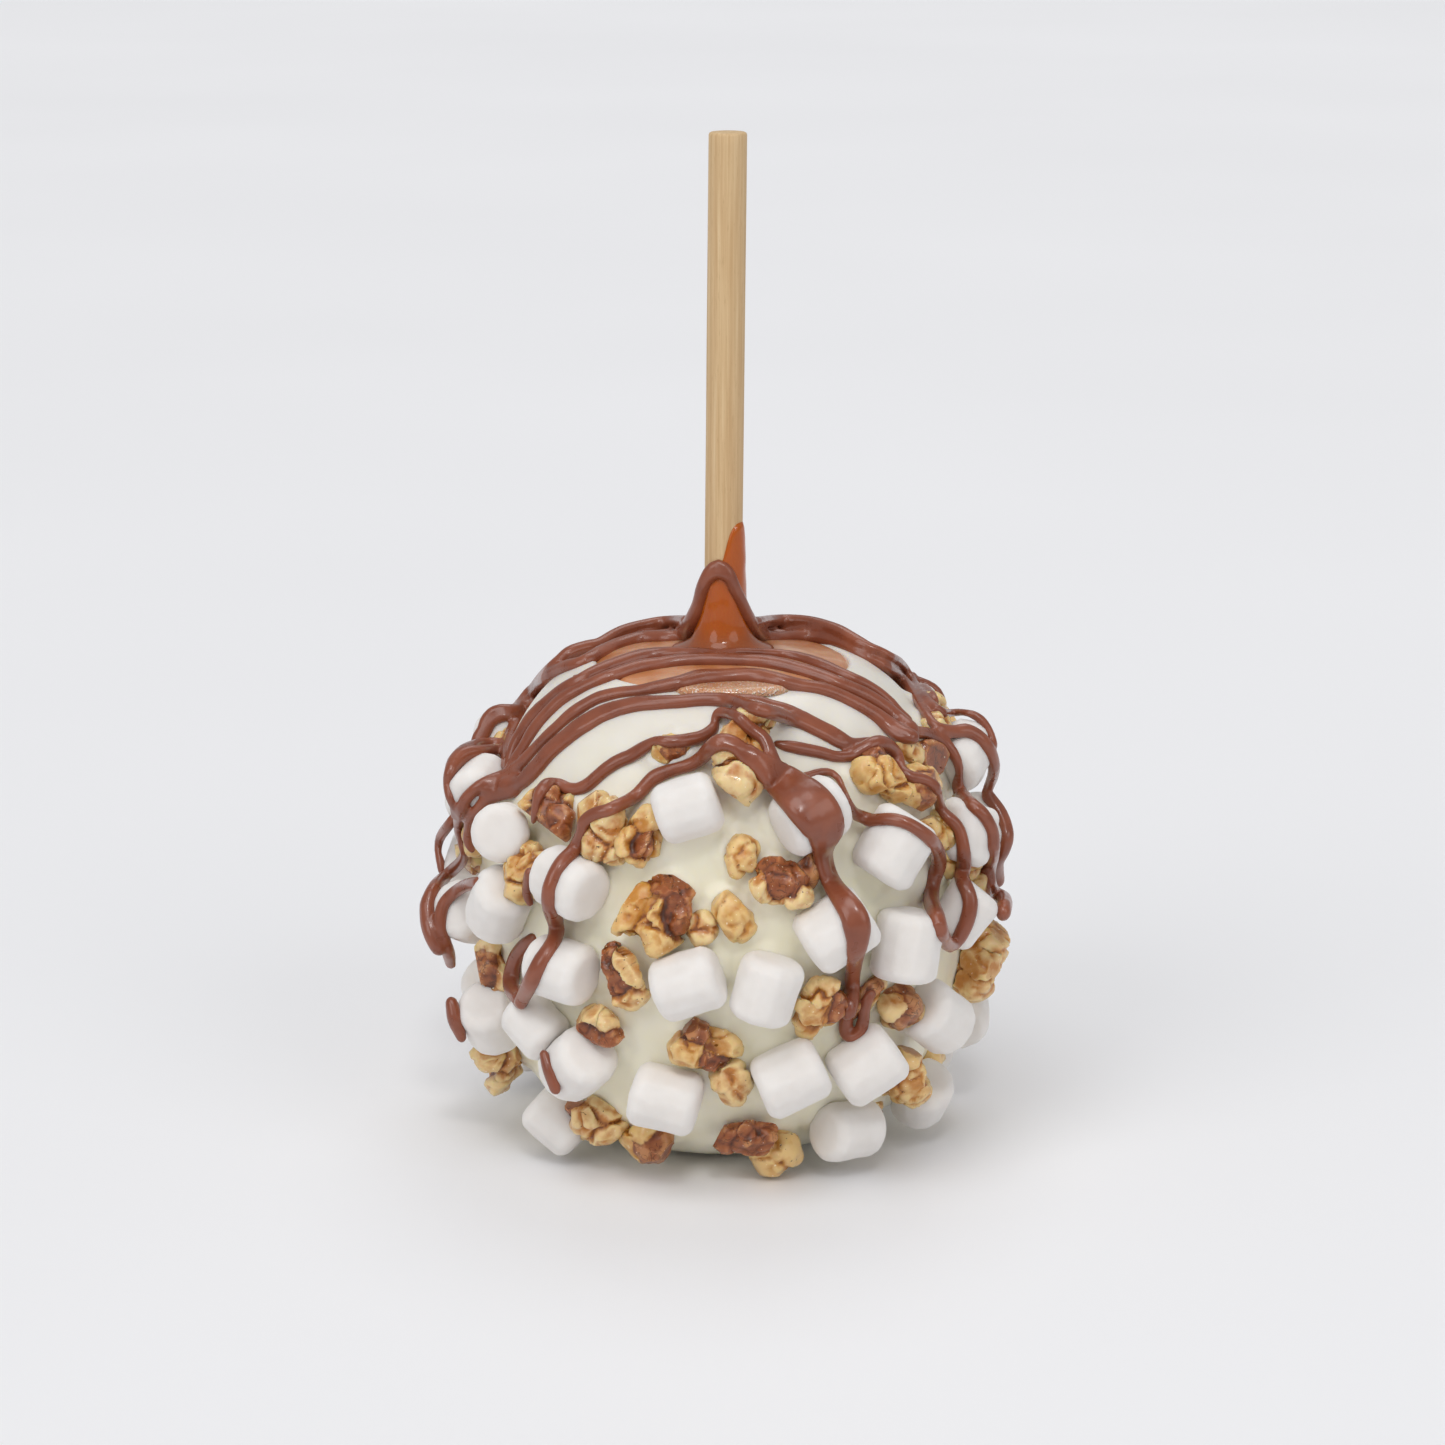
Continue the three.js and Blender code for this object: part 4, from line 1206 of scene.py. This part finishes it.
PIXEL_SIZE = SENSOR / FRAME_PIXELS / CAMERA_LENS  # slope of the ray per pixel from the middle
NEAR_SCALE = 0.157  # millimetres per pixel where the drizzle lies
ROPE_SIDES = 10
ROPE_FLATNESS = 0.86  # thickness as a share of width
ROPE_LIFT = 0.15  # how far its middle stands off the surface, as a share of its radius
ROPE_CAP = [(1.0, 0.12), (0.86, 0.5), (0.5, 0.87)]  # rings of its round end: how far out, and size
ROPE_SLACK = 2.2  # how far a rope may hang clear of the surface
LOST_WIDTH = 0.35  # millimetres that a rope loses when its skin is smoothed
LEAST_SHOWN = 0.58  # the least share of a rope's width that counts as seen
LANE_SPACING = 1.2
FAR_REACH = 33.0  # how far the strands behind the stick reach to each side
FAR_MEETING = 21  # how far behind the stick they come together
FAR_POINTS = 60
DRIZZLE_VOXEL = 0.27
DRIZZLE_TRIANGLES = 190000
CRUMB_POINTS = 50
SURFACE = BVHTree.FromPolygons(*(part.tolist() for part in joined([coat, caramel, stick, *toppings])))
EYE = np.array([0, -CAMERA_BACK, CAMERA_HEIGHT])


def pixel_direction(x, y):
    pitch = math.radians(CAMERA_PITCH)
    right = (x - FRAME_PIXELS / 2) * PIXEL_SIZE
    down = (y - FRAME_PIXELS / 2) * PIXEL_SIZE
    forward = np.array([0, math.cos(pitch), -math.sin(pitch)])
    upward = np.array([0, math.sin(pitch), math.cos(pitch)])
    return unit(forward + right * np.array([1.0, 0, 0]) - down * upward)


def smooth_line(controls, step):
    """Points about a step apart on the smooth line through the controls."""
    controls = np.asarray(controls, float)
    lead_in = controls[:1] * 2 - controls[1:2]
    run_out = controls[-1:] * 2 - controls[-2:-1]
    padded = np.concatenate([lead_in, controls, run_out])
    line = []
    for before, start, end, after in zip(padded, padded[1:], padded[2:], padded[3:]):
        count = max(2, int(np.linalg.norm((end - start)[:2]) / step))
        for share in np.arange(count) / count:
            bend = (end - before) * share + (2 * before - 5 * start + 4 * end - after) * share**2
            bend = bend + (3 * start - before - 3 * end + after) * share**3
            line.append(start + 0.5 * bend)
    line.append(controls[-1])
    return np.array(line)


def first_meeting(start, direction):
    """How far along a ray the surface lies, or else where the ray passes it nearest."""
    place, _, _, distance = SURFACE.ray_cast(Vector(start), Vector(direction))
    if place is not None:
        return distance
    middle = (MIDDLE - start) @ direction
    tries = middle + np.linspace(-42, 42, 43)
    gaps = [SURFACE.find_nearest(Vector(start + direction * reach))[3] for reach in tries]
    return tries[int(np.argmin(gaps))]


def averaged(values, times):
    for _ in range(times):
        padded = np.concatenate([values[:1], values, values[-1:]])
        values = 0.25 * padded[:-2] + 0.5 * padded[1:-1] + 0.25 * padded[2:]
    return values


def draped(starts, directions):
    """Lays a line on the surface along rays: it bridges small gaps, as a stiffening strand does."""
    surface = np.array([first_meeting(start, direction) for start, direction in zip(starts, directions)])
    reach = surface.copy()
    for _ in range(10):
        reach = np.minimum(averaged(reach, 1), surface)
        reach = np.maximum(reach, surface - ROPE_SLACK)
    reach = averaged(np.minimum(averaged(reach, 8), surface), 3)
    points = starts + directions * reach[:, None]
    normals = np.array([SURFACE.find_nearest(Vector(point))[1] for point in points])
    return points, unit(averaged(normals, 14))


def tube(points, normals, widths):
    """A closed round-ended rope along points, a little flatter than it is wide."""
    along = unit(np.gradient(points, axis=0))
    up = unit(normals - along * np.sum(normals * along, axis=1, keepdims=True))
    side = np.cross(along, up)
    radius = (widths + LOST_WIDTH) / 2
    centre = points + up * (ROPE_LIFT * radius)[:, None]
    angle = turn(ROPE_SIDES)
    stations = [(0, -out, size) for out, size in ROPE_CAP]
    stations += [(index, 0, 1) for index in range(len(points))]
    stations += [(-1, out, size) for out, size in ROPE_CAP[::-1]]
    rings = []
    for at, shift, size in stations:
        place = centre[at] + along[at] * radius[at] * shift
        ring = np.outer(np.cos(angle), side[at]) + ROPE_FLATNESS * np.outer(np.sin(angle), up[at])
        rings.append(place + radius[at] * size * ring)
    points, faces = closed_grid(np.array(rings))
    return points, faces[:, ::-1]


def shown_share(points, normals):
    """How much of a rope's width the camera sees: less where the surface turns away and hides it."""
    along = unit(np.gradient(points, axis=0))
    view = unit(EYE - points)
    view = unit(view - along * np.sum(view * along, axis=1, keepdims=True))
    facing = np.abs(np.sum(view * normals, axis=1))
    turned_away = np.sqrt(np.clip(1 - facing**2, 0, 1))
    upper = np.sqrt(facing**2 + (ROPE_FLATNESS * turned_away) ** 2) + ROPE_LIFT * turned_away
    return averaged(np.clip(0.5 * (upper + facing), LEAST_SHOWN, 1), 10)


def rope_width(width):
    """How wide each rope is in a band: a wide band is made of ropes side by side."""
    return width * (1 - 0.38 * smoothstep(1.9, 2.9, width)) * (1 - 0.25 * smoothstep(3.2, 6.0, width))


def front_strand(controls, seed):
    """One strand seen in the frame: its ropes, and its middle line with that line's width."""
    rows = [(*control, STRAND_WIDTH)[:3] for control in controls]
    line = smooth_line(rows, 4)
    spots = line * [1, 1, 0]
    across = unit(np.gradient(line[:, :2], axis=0))[:, ::-1] * [1, -1]
    width = line[:, 2] * NEAR_SCALE * (1 + 0.09 * noise(spots, 60, seed))
    width = width - 0.2 * smoothstep(1.7, 2.3, width)
    rope = rope_width(width)
    spare = (width - rope).max()
    lanes = int(math.ceil(spare / LANE_SPACING)) + 1 if spare > 0.3 else 1
    made = []
    for lane in range(lanes):
        place = 0 if lanes == 1 else lane / (lanes - 1) * 2 - 1
        shift = place * (width - rope) / 2 / NEAR_SCALE
        lane_line = line[:, :2] + across * shift[:, None]
        directions = np.array([pixel_direction(*pixel) for pixel in lane_line])
        points, normals = draped(np.tile(EYE, (len(line), 1)), directions)
        uneven = 1 + 0.1 * noise(spots, 45, seed + lane + 1)
        made.append(tube(points, normals, rope * uneven / shown_share(points, normals)))
        if lane == lanes // 2:
            middle = points, np.minimum(width, 3.0)
    return made, middle


def far_strand(behind, seed):
    """A strand over the top behind the stick, from side to side and a little way down both."""
    across = np.linspace(-FAR_REACH, FAR_REACH, FAR_POINTS)
    spots = np.stack([across, across * 0, across * 0], -1)
    apart = 1 - (across / 40) ** 4
    wander = FAR_MEETING + (behind - FAR_MEETING) * apart + 1.1 * noise(spots, 14, seed)
    starts = np.stack([across, wander, np.full(FAR_POINTS, 140.0)], -1)
    points, normals = draped(starts, np.tile([0, 0, -1.0], (FAR_POINTS, 1)))
    widths = 2.4 + 0.25 * noise(points, 9, seed + 1)
    return tube(points, normals, widths)


def back_strand(name, middle, seed):
    """A front strand repeated round the back, turned and dropped."""
    turned_by, drop = BACK_REPEATS[name]
    points, widths = middle
    away = points - MIDDLE
    azimuth = np.degrees(np.arctan2(away[:, 0], -away[:, 1]))
    height = np.degrees(np.arctan2(away[:, 2], np.hypot(away[:, 0], away[:, 1])))
    azimuth = np.radians(180 - azimuth * 0.7 + turned_by + 4 * noise(points, 17, seed))
    height = np.radians(height - drop + 3 * noise(points, 13, seed + 1))
    directions = rings_of(np.cos(height), azimuth, np.sin(height))
    spots, normals = draped(MIDDLE + directions * 90, -directions)
    return tube(spots, normals, widths)


def make_drizzle():
    ropes = []
    for index, (name, controls) in enumerate(STRANDS.items()):
        made, middle = front_strand(controls, 50 + 5 * index)
        ropes.extend(made)
        if name in BACK_REPEATS:
            ropes.append(back_strand(name, middle, 300 + 5 * index))
    ropes.extend(far_strand(behind, 500 + index) for index, behind in enumerate(FAR_STRANDS))
    skin = skin_round(*joined(ropes), DRIZZLE_VOXEL, 5)
    points, faces = without_crumbs(*thinned(*skin, DRIZZLE_TRIANGLES), CRUMB_POINTS)
    piece("drizzle", points, faces, MILK_CHOCOLATE, "milk_chocolate")


make_drizzle()

# --- Floor, light and camera -------------------------------------------------------


FLOOR_CORNERS = [(-9, -3, 0), (9, -3, 0), (9, 15, 0), (-9, 15, 0)]  # metres
WORLD_COLOUR = (0.97, 0.98, 1.0, 1)
WORLD_STRENGTH = 0.36
# Where each light comes from, how many degrees across it is, and its strength.
LIGHTS = {
    "overhead": ((-0.2, -0.35, 1.0), 35, 0.75),
    "left": ((-1.0, -1.1, 0.9), 35, 0.65),
    "right": ((1.0, -1.0, 0.8), 35, 0.45),
    "glint": ((0.1, -0.8, 1.0), 9, 0.45),
    "behind": ((0.1, 0.55, 1.0), 35, 0.5),
}


def make_floor():
    mesh = mesh_of("floor", np.array(FLOOR_CORNERS, float), np.array([[0, 1, 2, 3]]))
    mesh.materials.append(pale_floor())
    floor = shown("floor", mesh)


def make_light():
    """Soft lights that are even over the floor, and one narrow one for the highlights."""
    world = bpy.data.worlds.new("world")
    world.use_nodes = True
    background = world.node_tree.nodes["Background"]
    background.inputs["Color"].default_value = WORLD_COLOUR
    background.inputs["Strength"].default_value = WORLD_STRENGTH
    bpy.context.scene.world = world
    for name, (towards, degrees, strength) in LIGHTS.items():
        light = bpy.data.lights.new(name, "SUN")
        light.angle, light.energy = math.radians(degrees), strength
        shown(name, light).rotation_euler = Vector(towards).to_track_quat("Z", "Y").to_euler()


def make_camera():
    camera = bpy.data.cameras.new("camera")
    camera.lens, camera.sensor_width, camera.sensor_fit = CAMERA_LENS, SENSOR, "HORIZONTAL"
    camera.clip_start, camera.clip_end = 0.01, 60
    viewer = shown("camera", camera)
    viewer.location = EYE * MM
    viewer.rotation_euler = (math.radians(90 - CAMERA_PITCH), 0, 0)
    bpy.context.scene.camera = viewer


make_floor()
make_light()
make_camera()
bpy.context.scene.view_settings.view_transform = "Standard"
